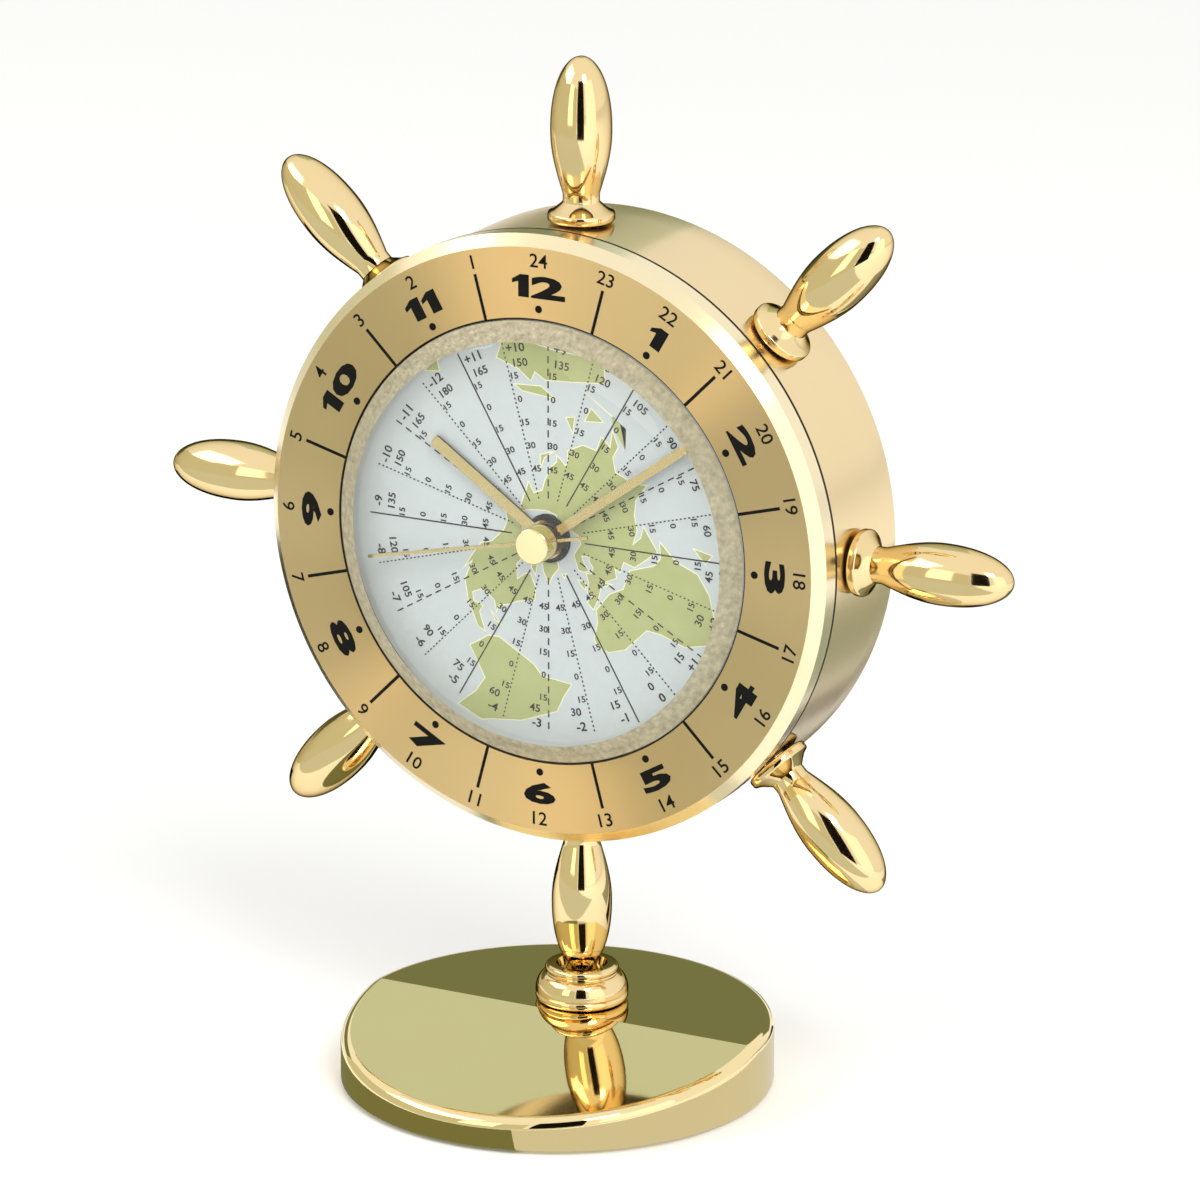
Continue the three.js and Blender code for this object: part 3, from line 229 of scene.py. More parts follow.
for name, colour, azimuth, distance, width, foot, top in STANDING_CARDS:
    angle = math.radians(azimuth)
    place = (math.sin(angle) * distance, -math.cos(angle) * distance, (foot + top) / 2)
    add_card(name, colour, place, (math.pi / 2, 0, angle), width, top - foot)
for name, colour, place, width, height in AIMED_CARDS:
    add_card(name, colour, place, facing(place, CARD_AIM), width, height)
for name, colour, left, right, front, back in FLOOR_CARDS:
    place = ((left + right) / 2, (front + back) / 2, CARD_LIFT)
    add_card(name, colour, place, (0, 0, 0), right - left, back - front)
# Painted shade on the floor close round the base, seen only in the gold
for name, colour, side in NEAR_SHADE_CARDS:
    deselect()
    bpy.ops.mesh.primitive_circle_add(vertices=NEAR_FACETS, radius=NEAR_REACH, fill_type="NGON",
                                      location=(0, 0, CARD_LIFT))
    edit_all()
    bpy.ops.mesh.bisect(plane_co=(NEAR_SPLIT, 0, 0), plane_no=(side, 0, 0), clear_inner=True)
    end_edit()
    only_mirrored(name, colour)

# Base: a thick polished gold disc, cast and buffed, whose top slopes down to the front from a crease across
# the middle. Its edge is rounded, and its underside is hollowed for the felt.
MM = 0.001
BASE_FACETS = 160
BASE_FRONT_HEIGHT = 5 * MM
BASE_EDGE_ROUND = 1.6 * MM
BASE_EDGE_STEPS = 8
BASE_FOOT_ROUND = 0.35 * MM
BASE_FOOT_STEPS = 3
CREASE_SETBACK = 1.2 * MM
CREASE_ROUND = 0.12 * MM
CREASE_STEPS = 2
FELT_GAP = 0.1 * MM
UPRIGHT = 0.1
NEARLY_LEVEL = 0.9
LEVEL = 0.99
SMOOTH_ANGLE = math.radians(30)
CLOUD_DETAIL = 3
GRAIN_DETAIL = 1
CLOUD_LOW = 0.3
CLOUD_HIGH = 0.7
POLISHED_GOLD = ((0.93, 0.765, 0.43, 1), (0.92, 0.74, 0.39, 1))


def start_group(name, given, results):
    # A shader node group with plain number sockets, and its two ends
    tree = bpy.data.node_groups.new(name, "ShaderNodeTree")
    for sockets, way in ((given, "INPUT"), (results, "OUTPUT")):
        for socket in sockets:
            tree.interface.new_socket(socket, in_out=way, socket_type="NodeSocketFloat")
    return tree, add_node(tree, "NodeGroupInput"), add_node(tree, "NodeGroupOutput")


cloud_and_grain, scales, found = start_group("cloud_and_grain", ("Cloud Scale", "Grain Scale"),
                                             ("Cloud", "Grain"))
surface = add_node(cloud_and_grain, "ShaderNodeTexCoord")
for socket, detail in (("Cloud", CLOUD_DETAIL), ("Grain", GRAIN_DETAIL)):
    noise = add_node(cloud_and_grain, "ShaderNodeTexNoise", {"Detail": detail})
    wire(cloud_and_grain, (surface, "Object", noise, "Vector"), (scales, socket + " Scale", noise, "Scale"),
         (noise, "Fac", found, socket))


def grained(tree, shader, colours, cloud, grain, relief):
    # Lets the colour drift in clouds over the surface and the grain stand up by the relief
    detail = add_node(tree, "ShaderNodeGroup", {"Cloud Scale": cloud, "Grain Scale": grain},
                      node_tree=cloud_and_grain)
    tint = add_node(tree, "ShaderNodeMix", {"A": colours[0], "B": colours[1]}, data_type="RGBA")
    bump = add_node(tree, "ShaderNodeBump", {"Distance": relief}, name="bump")
    wire(tree, (detail, "Cloud", tint, "Factor"), (tint, "Result", shader, "Base Color"),
         (detail, "Grain", bump, "Height"), (bump, "Normal", shader, "Normal"))
    return detail


def made_of(name, colours, roughness, metallic, cloud, grain, relief, others=None):
    # A finish whose colour and gloss drift over the surface, with other shader values where it needs them
    made, tree, shader = start_material(name, {"Metallic": metallic, **(others or {})})
    detail = grained(tree, shader, colours, cloud, grain, relief)
    gloss = add_node(tree, "ShaderNodeMapRange", {"From Min": CLOUD_LOW, "From Max": CLOUD_HIGH,
                                                  "To Min": roughness[0], "To Max": roughness[1]})
    wire(tree, (detail, "Cloud", gloss, "Value"), (gloss, "Result", shader, "Roughness"))
    return made


def only(piece):
    deselect()
    piece.select_set(True)
    bpy.context.view_layer.objects.active = piece


def select_in(piece, kind, wanted):
    # Opens the piece for editing with the edges or faces that are wanted selected
    only(piece)
    bpy.ops.object.mode_set(mode="EDIT")
    bpy.ops.mesh.select_mode(type=kind)
    bpy.ops.mesh.select_all(action="DESELECT")
    shape = bmesh.from_edit_mesh(piece.data)
    for part in (shape.edges if kind == "EDGE" else shape.faces):
        part.select_set(wanted(part))
    bmesh.update_edit_mesh(piece.data)


def bevelled(piece, wanted, width, steps):
    select_in(piece, "EDGE", wanted)
    bpy.ops.mesh.bevel(offset=width, segments=steps, affect="EDGES")
    end_edit()


def extruded(by):
    bpy.ops.mesh.extrude_region_move(TRANSFORM_OT_translate={"value": by})


def smooth(piece):
    if piece.mode == "EDIT":
        end_edit()
    only(piece)
    bpy.ops.object.shade_smooth_by_angle(angle=SMOOTH_ANGLE)


def modified(piece, kind, **settings):
    # Adds a modifier with its settings made, and applies it
    change = piece.modifiers.new(kind.lower(), kind)
    for name, setting in settings.items():
        setattr(change, name, setting)
    only(piece)
    bpy.ops.object.modifier_apply(modifier=change.name)


def keep_flat(piece):
    # Lets the large flat faces keep a flat shine beside their rounded edges
    modified(piece, "WEIGHTED_NORMAL", keep_sharp=True)


def started(name):
    # Names the primitive just added and keeps its place in its mesh
    piece = bpy.context.object
    piece.name = name
    bpy.ops.object.transform_apply(location=True, rotation=True, scale=True)
    return piece


def finish_piece(piece, material, body, slot, *nodes):
    piece.data.materials.clear()
    piece.data.materials.append(material)
    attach(piece, body)
    if nodes:
        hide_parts(*nodes)


def radius_of(node):
    low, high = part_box(node)
    return (high.x - low.x) / 2


base_low, base_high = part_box("base_body")
base_radius = radius_of("base_body")
felt_low, felt_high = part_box("base_felt_pad")
felt_radius = radius_of("base_felt_pad")
slope = math.atan((base_high.z - BASE_FRONT_HEIGHT) / (base_radius + CREASE_SETBACK))

deselect()
bpy.ops.mesh.primitive_cylinder_add(vertices=BASE_FACETS, radius=base_radius, depth=base_high.z - base_low.z,
                                    location=(0, 0, (base_low.z + base_high.z) / 2))
base = started("base")
edit_all()
bpy.ops.mesh.bisect(plane_co=(0, CREASE_SETBACK, base_high.z),
                    plane_no=(0, -math.sin(slope), math.cos(slope)), use_fill=True, clear_outer=True)
end_edit()


def is_rim(edge):
    ups = sorted(face.normal.z for face in edge.link_faces)
    return abs(ups[0]) < UPRIGHT and ups[-1] > NEARLY_LEVEL


def is_crease(edge):
    return all(face.normal.z > NEARLY_LEVEL for face in edge.link_faces) and edge.calc_length() > base_radius


def is_foot(edge):
    return all(vert.co.z < base_low.z + FELT_GAP for vert in edge.verts)


bevelled(base, is_rim, BASE_EDGE_ROUND, BASE_EDGE_STEPS)
bevelled(base, is_crease, CREASE_ROUND, CREASE_STEPS)
bevelled(base, is_foot, BASE_FOOT_ROUND, BASE_FOOT_STEPS)
select_in(base, "FACE", lambda face: face.normal.z < -LEVEL)
bpy.ops.mesh.inset(thickness=base_radius - BASE_FOOT_ROUND - felt_radius - FELT_GAP)
extruded((0, 0, felt_high.z + FELT_GAP - base_low.z))
smooth(base)
keep_flat(base)
polished_gold = made_of("polished_gold", POLISHED_GOLD, roughness=(0.02, 0.05), metallic=1, cloud=60,
                        grain=2500, relief=0.0000006)
finish_piece(base, polished_gold, "case", "polished_gold", "base_body")

# Felt: a round green pad of pressed wool, glued into the hollow under the base so that it stands a little
# proud and keeps the metal off the table. Its lower edge is rounded by the cutting die.
FELT_EDGE = 0.3 * MM
FELT_EDGE_SHARE = 0.3
FELT_FACETS = 96
SEAM_GAP = 0.000002
FELT_GREEN = ((0.018, 0.06, 0.032, 1), (0.035, 0.09, 0.05, 1))


def turned(name, rings, facets, closed=False):
    # Turned about the upright axis from rings of (radius, height): a solid with flat ends, or a hollow ring
    # where the outline closes on itself
    deselect()
    radius, height = rings[0]
    bpy.ops.mesh.primitive_circle_add(vertices=facets, radius=radius, location=(0, 0, height),
                                      fill_type="NOTHING" if closed else "NGON")
    piece = started(name)
    edit_all()
    for next_radius, next_height in rings[1:] + (rings[:1] if closed else []):
        extruded((0, 0, next_height - height))
        share = next_radius / radius
        bpy.ops.transform.resize(value=(share, share, 1), center_override=(0, 0, next_height))
        radius, height = next_radius, next_height
    bpy.ops.mesh.select_all(action="SELECT")
    if closed:
        bpy.ops.mesh.remove_doubles(threshold=SEAM_GAP)
    bpy.ops.mesh.normals_make_consistent(inside=False)
    smooth(piece)
    return piece


felt_break = FELT_EDGE * FELT_EDGE_SHARE
felt = turned("felt_pad", [(felt_radius - FELT_EDGE, felt_low.z),
                           (felt_radius - felt_break, felt_low.z + felt_break),
                           (felt_radius, felt_low.z + FELT_EDGE), (felt_radius, felt_high.z)], FELT_FACETS)
felt_cloth = made_of("green_felt", FELT_GREEN, roughness=(0.9, 1), metallic=0, cloud=900, grain=6000,
                     relief=0.0001, others={"Sheen Weight": 0.5})
finish_piece(felt, felt_cloth, "case", "green_felt", "base_felt_pad")

# Screw under the base: a steel machine screw that runs up through the base and the collar into the stem.
# The felt hides its head.
STEEL = ((0.5, 0.51, 0.53, 1), (0.4, 0.41, 0.42, 1))

steel = made_of("steel", STEEL, roughness=(0.22, 0.36), metallic=1, cloud=300, grain=3000, relief=0.000004)


def dress_nodes(material, *names):
    for name in names:
        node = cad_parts[name]
        node.data.materials.clear()
        node.data.materials.append(material)


dress_nodes(steel, "base_screw")

# Collar: a domed cup turned from brass and plated, on a grooved foot. The tip of the stem sits in the dish on
# its top, and the base screw holds both down.
COLLAR_FACETS = 96
COLLAR_STEPS = 8
COLLAR_BORE = 1.2 * MM
COLLAR_FOOT_RADIUS = 7.2 * MM
COLLAR_FOOT_HEIGHT = 1.6 * MM
COLLAR_FOOT_ARC = 55
COLLAR_GROOVE = 0.35 * MM
COLLAR_WAIST_HEIGHT = 4.5 * MM
COLLAR_WAIST_ARC = 84
COLLAR_RIM_RADIUS = 5.7 * MM
COLLAR_RIM_ARC = -50
COLLAR_DISH_RADIUS = 3.6 * MM
COLLAR_DISH_DEPTH = 1.4 * MM
TURNED_GOLD = ((0.92, 0.735, 0.41, 1), (0.9, 0.68, 0.35, 1))
TURNED_GOLD_EDGE = (0.02, 0.012, 0.004, 1)


def rounded(centre_radius, centre_height, reach_radius, reach_height, start, end, steps):
    # Rings along an arc about a centre, between two angles in degrees above level
    rings = []
    for i in range(steps + 1):
        angle = math.radians(start + (end - start) * i / steps)
        rings.append((centre_radius + reach_radius * math.cos(angle),
                      centre_height + reach_height * math.sin(angle)))
    return rings


def settle(piece, place=(0, 0, 0), turn=(0, 0, 0)):
    # Turns the piece, moves it to its place, and keeps both in its mesh
    only(piece)
    piece.rotation_euler = turn
    piece.location = place
    bpy.ops.object.transform_apply(location=True, rotation=True, scale=True)


collar_low, collar_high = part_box("stem_collar")
collar_y = (collar_low.y + collar_high.y) / 2
foot_half = COLLAR_FOOT_HEIGHT / 2
groove_height = collar_low.z + COLLAR_FOOT_HEIGHT
waist_height = collar_low.z + COLLAR_WAIST_HEIGHT
waist_radius = COLLAR_RIM_RADIUS - COLLAR_GROOVE
rim_half = (collar_high.z - waist_height) / 2
dish_floor = collar_high.z - COLLAR_DISH_DEPTH
collar_rings = rounded(COLLAR_FOOT_RADIUS - foot_half, collar_low.z + foot_half, foot_half, foot_half, -90,
                       COLLAR_FOOT_ARC, COLLAR_STEPS)
collar_rings.append((COLLAR_FOOT_RADIUS - COLLAR_GROOVE, groove_height))
collar_rings += rounded(waist_radius, groove_height, COLLAR_FOOT_RADIUS - waist_radius,
                        waist_height - groove_height, 0, COLLAR_WAIST_ARC, COLLAR_STEPS)
collar_rings += rounded(COLLAR_RIM_RADIUS - rim_half, waist_height + rim_half, rim_half, rim_half,
                        COLLAR_RIM_ARC, 90, COLLAR_STEPS)
collar_rings += [(COLLAR_DISH_RADIUS + COLLAR_GROOVE, collar_high.z), (COLLAR_DISH_RADIUS, dish_floor),
                 (COLLAR_BORE, dish_floor)]
collar = turned("stem_collar_cup", collar_rings, COLLAR_FACETS)
settle(collar, (0, collar_y, 0))
turned_gold = made_of("turned_gold", TURNED_GOLD, roughness=(0.05, 0.1), metallic=1, cloud=60, grain=2500,
                      relief=0.0000006, others={"Specular Tint": TURNED_GOLD_EDGE})
finish_piece(collar, turned_gold, "case", "polished_gold", "stem_collar")

# Handles: eight brass turnings, plated and polished, each with a domed flange against the drum, a short neck
# and a long barrel. Studs hold them through the drum wall. The lowest one is the stem.
HANDLE_COUNT = 8
HANDLE_NAMES = ["handle_stem"] + ["handle_%d" % number for number in range(1, HANDLE_COUNT)]
HANDLE_FACETS = 64
HANDLE_RADIUS = 4.66 * MM
HANDLE_LENGTH = 25.1 * MM
HANDLE_SEAT = 0.3 * MM
STUD_RADIUS = 2 * MM
STUD_LENGTH = 2.3 * MM
FLANGE_RADIUS = 5.1 * MM
FLANGE_ROUND = 0.45 * MM
FLANGE_BAND = 1.5 * MM
FLANGE_TOP = 2.6 * MM
FLANGE_ARC = 60
FLANGE_STEPS = 5
NECK_RADIUS = 2.8 * MM
NECK_FILLET = 0.35 * MM
NECK_HEIGHT = 4.2 * MM
BARREL_WIDEST = 9.6 * MM
BARREL_FULLNESS = 2.2
SWELL_STEPS = 14
NOSE_STEPS = 20
STEM_TIP_RADIUS = 1.3 * MM
HANDLE_TIP_RADIUS = 0.05 * MM

drum_low, drum_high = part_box("drum_case")
drum_radius = radius_of("drum_case")
wheel_height = (drum_low.z + drum_high.z) / 2
wheel_y = collar_y


def handle_rings(tip_radius):
    # Heights count outwards from the drum
    foot = HANDLE_SEAT
    brow = FLANGE_RADIUS - FLANGE_ROUND
    band = foot + FLANGE_BAND
    flange_top = foot + FLANGE_TOP
    neck = foot + NECK_HEIGHT
    widest = neck + BARREL_WIDEST
    tip = foot + HANDLE_LENGTH
    rings = [(STUD_RADIUS, -STUD_LENGTH), (STUD_RADIUS, foot)]
    rings += rounded(brow, foot + FLANGE_ROUND, FLANGE_ROUND, FLANGE_ROUND, -90, 0, FLANGE_STEPS)
    rings += rounded(brow, band - FLANGE_ROUND, FLANGE_ROUND, FLANGE_ROUND, 0, FLANGE_ARC, FLANGE_STEPS)
    rings += [(brow - FLANGE_ROUND, band + FLANGE_ROUND / 2), (NECK_RADIUS + NECK_FILLET, flange_top),
              (NECK_RADIUS, flange_top + NECK_FILLET), (NECK_RADIUS, neck)]
    for i in range(1, SWELL_STEPS + 1):
        share = i / SWELL_STEPS
        swell = math.sin(share * math.pi / 2)
        rings.append((NECK_RADIUS + (HANDLE_RADIUS - NECK_RADIUS) * swell, neck + BARREL_WIDEST * share))
    for i in range(1, NOSE_STEPS + 1):
        share = math.sin(i / NOSE_STEPS * math.pi / 2)
        radius = HANDLE_RADIUS * math.sqrt(max(0, 1 - share ** BARREL_FULLNESS))
        rings.append((max(radius, tip_radius), widest + (tip - widest) * share))
        if radius < tip_radius:
            break
    return rings


def copy_of(piece, name):
    only(piece)
    bpy.ops.object.duplicate(linked=False)
    made = bpy.context.object
    made.name = name
    return made


grip = turned("grip", handle_rings(HANDLE_TIP_RADIUS), HANDLE_FACETS)
for number, node in enumerate(HANDLE_NAMES):
    bearing = math.pi + number * 2 * math.pi / HANDLE_COUNT
    if number == 0:
        handle = turned("stem_turning", handle_rings(STEM_TIP_RADIUS), HANDLE_FACETS)
    else:
        handle = copy_of(grip, node + "_turning")
    outwards = Vector((math.sin(bearing), 0, math.cos(bearing)))
    settle(handle, Vector((0, wheel_y, wheel_height)) + outwards * drum_radius, (0, bearing, 0))
    finish_piece(handle, turned_gold, "case", "polished_gold", node)
bpy.data.objects.remove(grip)

# Drum: the round case, spun from brass sheet, plated and brushed to a satin along its way round. The handles
# stand on it, the bezel is pressed into its front and the back cover is let into its rear.
DRUM_FACETS = 160
DRUM_WALL = 1.7 * MM
DRUM_BANDS = 4
DRUM_FRONT_BREAK = 0.1 * MM
DRUM_BORE_BREAK = 0.15 * MM
DRUM_EDGE = 0.45 * MM
DRUM_EDGE_STEPS = 5
DRUM_LEDGE_BORE = 41.9 * MM
DRUM_LEDGE_DEPTH = 1.9 * MM
DRUM_LEDGE_THICKNESS = 1 * MM
BRUSH_DETAIL = 2
BRUSH_FINENESS = 4500
BRUSH_STRETCH = 0.0004
QUARTER_TURN = 0.25
SATIN_GOLD = ((0.9, 0.72, 0.43, 1), (0.89, 0.7, 0.4, 1))


def depths(node):
    # How far the front and the back of a node stand ahead of the plane of the handles
    low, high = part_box(node)
    return wheel_y - low.y, wheel_y - high.y


def on_wheel(piece):
    # What is drawn flat, facing up, is stood up to face the front at the middle of the wheel
    settle(piece, (0, wheel_y, wheel_height), (math.pi / 2, 0, 0))


brush_lines, ways, drawn = start_group("brush_lines", ("Across", "Along", "Fineness"), ("Lines",))
brush_place = add_node(brush_lines, "ShaderNodeCombineXYZ")
brush_noise = add_node(brush_lines, "ShaderNodeTexNoise", {"Detail": BRUSH_DETAIL}, noise_dimensions="2D")
wire(brush_lines, (ways, "Across", brush_place, "X"), (ways, "Along", brush_place, "Y"),
     (brush_place, "Vector", brush_noise, "Vector"), (ways, "Fineness", brush_noise, "Scale"),
     (brush_noise, "Fac", drawn, "Lines"))


def brushed(made, across, stretch):
    # Adds brushed lines that run round the wheel: across it they change with the radius or the depth.
    # Reflections are stretched across the lines
    tree = made.node_tree
    shader = tree.nodes["Principled BSDF"]
    shader.inputs["Anisotropic"].default_value = stretch
    shader.inputs["Anisotropic Rotation"].default_value = QUARTER_TURN
    round_about = add_node(tree, "ShaderNodeTangent", direction_type="RADIAL", axis="Y")
    place = add_node(tree, "ShaderNodeTexCoord")
    centre = add_node(tree, "ShaderNodeVectorMath", operation="SUBTRACT")
    centre.inputs[1].default_value = (0, wheel_y, wheel_height)
    parts = add_node(tree, "ShaderNodeSeparateXYZ")
    turn = add_node(tree, "ShaderNodeMath", operation="ARCTAN2")
    along = add_node(tree, "ShaderNodeMath", {1: BRUSH_STRETCH}, operation="MULTIPLY")
    lines = add_node(tree, "ShaderNodeGroup", {"Fineness": BRUSH_FINENESS}, node_tree=brush_lines)
    wire(tree, (round_about, "Tangent", shader, "Tangent"), (place, "Object", centre, 0),
         (centre, "Vector", parts, "Vector"), (parts, "X", turn, 0), (parts, "Z", turn, 1),
         (turn, "Value", along, 0), (along, "Value", lines, "Along"),
         (lines, "Lines", tree.nodes["bump"], "Height"))
    if across == "radius":
        flat = add_node(tree, "ShaderNodeVectorMath", {1: (1, 0, 1)}, operation="MULTIPLY")
        length = add_node(tree, "ShaderNodeVectorMath", operation="LENGTH")
        wire(tree, (centre, "Vector", flat, 0), (flat, "Vector", length, 0),
             (length, "Value", lines, "Across"))
    else:
        wire(tree, (parts, "Y", lines, "Across"))
    return made


drum_front, drum_back = depths("drum_case")
drum_bore = drum_radius - DRUM_WALL
drum_reach = drum_back + DRUM_EDGE - drum_front
ledge_back = drum_back + DRUM_LEDGE_DEPTH
ledge_front = ledge_back + DRUM_LEDGE_THICKNESS
drum_outline = [(drum_bore, drum_front), (drum_radius - DRUM_FRONT_BREAK, drum_front),
                (drum_radius, drum_front - DRUM_FRONT_BREAK)]
drum_outline += [(drum_radius, drum_front + drum_reach * i / DRUM_BANDS) for i in range(1, DRUM_BANDS)]
drum_outline += rounded(drum_radius - DRUM_EDGE, drum_back + DRUM_EDGE, DRUM_EDGE, DRUM_EDGE, 0, -90,
                        DRUM_EDGE_STEPS)
drum_outline += [(drum_bore + DRUM_BORE_BREAK, drum_back), (drum_bore, drum_back + DRUM_BORE_BREAK),
                 (drum_bore, ledge_back), (DRUM_LEDGE_BORE, ledge_back), (DRUM_LEDGE_BORE, ledge_front),
                 (drum_bore, ledge_front)]
drum = turned("drum", drum_outline, DRUM_FACETS, closed=True)
on_wheel(drum)
satin_drum = made_of("satin_gold_drum", SATIN_GOLD, roughness=(0.17, 0.21), metallic=1, cloud=25, grain=2500,
                     relief=0.0000015)
finish_piece(drum, brushed(satin_drum, "depth", stretch=0.9), "case", "satin_gold", "drum_case")

# Bezel: a turned brass ring pressed into the front of the drum. Its flat face is brushed in circles and
# printed with the hours, and its bevelled edge has a fine satin in a paler gold that is partly painted
# highlight. Its opening is dark, and the dark band at its rear corner is painted shade: the shadow line
# where the bezel overhangs the drum.
BEZEL_FACETS = 192
BEZEL_BEVEL = 1.7 * MM
BEZEL_SEAM = 0.6 * MM
BEZEL_LIP = 0.8 * MM
BEZEL_BREAK = 0.3 * MM
BEZEL_RABBET = 36.05 * MM
BEZEL_SPIGOT_RADIUS = 44.8 * MM
BEZEL_SPIGOT_BORE = 43.6 * MM
BEZEL_BACK_STEP = 5.3 * MM
BEZEL_SEAT_GAP = 0.1 * MM
DIAL_OPENING = 34.35 * MM
FRONT_FACING = 0.999
REAR_FACING = 0.5
BEZEL_FACE_GOLD = ((0.89, 0.7, 0.38, 1), (0.87, 0.67, 0.35, 1))
# The edge's gold is paler than the face's: satin gold that is partly painted highlight, the cream of strong
# light on the bevel
BEZEL_EDGE_GOLD_AND_HIGHLIGHT = ((0.95, 0.83, 0.56, 1), (0.94, 0.8, 0.52, 1))
# Painted shade for the bezel's rear corner, and the dark of its opening
DARK_AND_SHADE = ((0.012, 0.008, 0.005, 1), (0.025, 0.017, 0.01, 1))

bezel_radius = radius_of("bezel_ring")
bezel_face, bezel_spigot_back = depths("bezel_ring")
bezel_back = bezel_face - BEZEL_BACK_STEP
bezel_seat = depths("dial_plate")[0] + BEZEL_SEAT_GAP
bezel_outline = [(DIAL_OPENING, bezel_face - BEZEL_BREAK), (DIAL_OPENING + BEZEL_BREAK, bezel_face),
                 (bezel_radius - BEZEL_BEVEL, bezel_face), (bezel_radius, bezel_face - BEZEL_BEVEL),
                 (bezel_radius, bezel_back + BEZEL_SEAM), (bezel_radius, bezel_back),
                 (BEZEL_SPIGOT_RADIUS, bezel_back), (BEZEL_SPIGOT_RADIUS, bezel_spigot_back),
                 (BEZEL_SPIGOT_BORE, bezel_spigot_back), (BEZEL_SPIGOT_BORE, bezel_seat),
                 (BEZEL_RABBET, bezel_seat), (BEZEL_RABBET, bezel_face - BEZEL_LIP),
                 (DIAL_OPENING, bezel_face - BEZEL_LIP)]
bezel = turned("bezel", bezel_outline, BEZEL_FACETS, closed=True)
on_wheel(bezel)


def reach_of(face):
    return math.hypot(face.center.x, face.center.z - wheel_height)


# Painted shade: the rear corner, where the bezel overhangs the drum, is made dark as the shadow line there.
# The opening's edge and wall are made dark too.
def is_lacquered(face):
    at_seam = wheel_y - face.center.y < bezel_back + BEZEL_SEAM and face.normal.y < REAR_FACING
    return at_seam or reach_of(face) < DIAL_OPENING + BEZEL_BREAK


def dress_faces(piece, material, wanted):
    # Gives a second finish to the faces that are wanted
    piece.data.materials.append(material)
    for face in piece.data.polygons:
        if wanted(face):
            face.material_index = len(piece.data.materials) - 1


brushed_face = made_of("brushed_gold_face", BEZEL_FACE_GOLD, roughness=(0.52, 0.56), metallic=1, cloud=30,
                       grain=2500, relief=0.000003)
satin_edge_and_highlight = made_of("satin_gold_edge_and_painted_highlight", BEZEL_EDGE_GOLD_AND_HIGHLIGHT, roughness=(0.17, 0.22), metallic=1, cloud=40,
                     grain=2500, relief=0.000002)
dark_opening_and_seam_shade = made_of("dark_opening_and_seam_shade", DARK_AND_SHADE, roughness=(0.4, 0.6), metallic=0, cloud=300, grain=3000,
                       relief=0.000006, others={"Specular IOR Level": 0.1})
finish_piece(bezel, brushed(brushed_face, "radius", stretch=0.97), "case", "satin_gold", "bezel_ring")
# The bevelled edge gets the paler satin gold, partly painted highlight
dress_faces(bezel, satin_edge_and_highlight, lambda face: face.normal.y > -FRONT_FACING)
dress_faces(bezel, dark_opening_and_seam_shade, is_lacquered)

# Hour print: black enamel figures on the bezel. The hours stand over a dot near the opening, the 24-hour
# figures run backwards near the edge, and a line parts each hour from the next.
HOUR_ANGLE = 30
HOUR_RADIUS = 39.5 * MM
HOUR_HEIGHT = 3.45 * MM
HOUR_STRETCH = 2.5
HOUR_WEIGHT = 0.045
DAY_HOUR_ANGLE = 15
DAY_HOUR_RADIUS = 43.55 * MM
DAY_HOUR_HEIGHT = 2.1 * MM
DAY_HOUR_STRETCH = 1.05
DAY_HOUR_WEIGHT = 0.008
DOT_RADIUS = 0.58 * MM
DOT_PLACE = 36.15 * MM
DOT_FACETS = 24
PARTING_INNER = 34.6 * MM
PARTING_OUTER = 41.7 * MM
PARTING_WIDTH = 0.5 * MM
PRINT_THICKNESS = 0.03 * MM
PRINT_SUNK = 0.01 * MM
FIGURE_GAP = 0.35 * MM
# The figure one with its flag, as shares of a figure's height, before it is stretched
FIGURE_ONE = [(0.12, 0), (0.33, 0), (0.33, 1), (0.16, 1), (0, 0.76), (0, 0.58), (0.12, 0.68)]
TYPE_HALF_DEPTH = 0.05
TYPE_CURVE_STEPS = 3
PRINT_BLACK = ((0.003, 0.003, 0.003, 1), (0.007, 0.0065, 0.006, 1))


def printed_figure(text, height, stretch, weight):
    # A flat figure of a given height about the origin, drawn as type and made solid
    deselect()
    bpy.ops.object.text_add()
    figure = bpy.context.object
    figure.data.body = text
    figure.data.offset = weight
    figure.data.extrude = TYPE_HALF_DEPTH
    figure.data.resolution_u = TYPE_CURVE_STEPS
    bpy.ops.object.convert(target="MESH")
    xs = [vert.co.x for vert in figure.data.vertices]
    ys = [vert.co.y for vert in figure.data.vertices]
    scale = height / (max(ys) - min(ys))
    figure.scale = (scale * stretch, scale, PRINT_THICKNESS / (2 * TYPE_HALF_DEPTH))
    settle(figure, (-scale * stretch * (max(xs) + min(xs)) / 2, -scale * (max(ys) + min(ys)) / 2, 0))
    return figure


def disc(name, radius, low, high, facets):
    return turned(name, [(radius, low), (radius, high)], facets)


def round_the_dial(piece, bearing, radius, height, upright):
    # Sets a flat piece at a bearing clockwise from the top. Where it is upright, figures below the level
    # line are turned so that they read from below
    turn = bearing - 180 if upright and 90 < bearing < 270 else bearing
    angle = math.radians(bearing)
    settle(piece, (radius * math.sin(angle), radius * math.cos(angle), height), (0, 0, -math.radians(turn)))


def joined(name, parts):
    deselect()
    for part in parts:
        part.select_set(True)
    bpy.context.view_layer.objects.active = parts[0]
    bpy.ops.object.join()
    made = bpy.context.object
    made.name = name
    return made


def flat_bar(width, length, thickness):
    # A thin bar along the dial's radius, centred on the origin
    deselect()
    bpy.ops.mesh.primitive_plane_add(size=1)
    bpy.context.object.scale = (width, length, 1)
    bar = started("bar")
    edit_all()
    extruded((0, 0, thickness))
    bpy.ops.mesh.select_all(action="SELECT")
    bpy.ops.mesh.normals_make_consistent(inside=False)
    end_edit()
    return bar


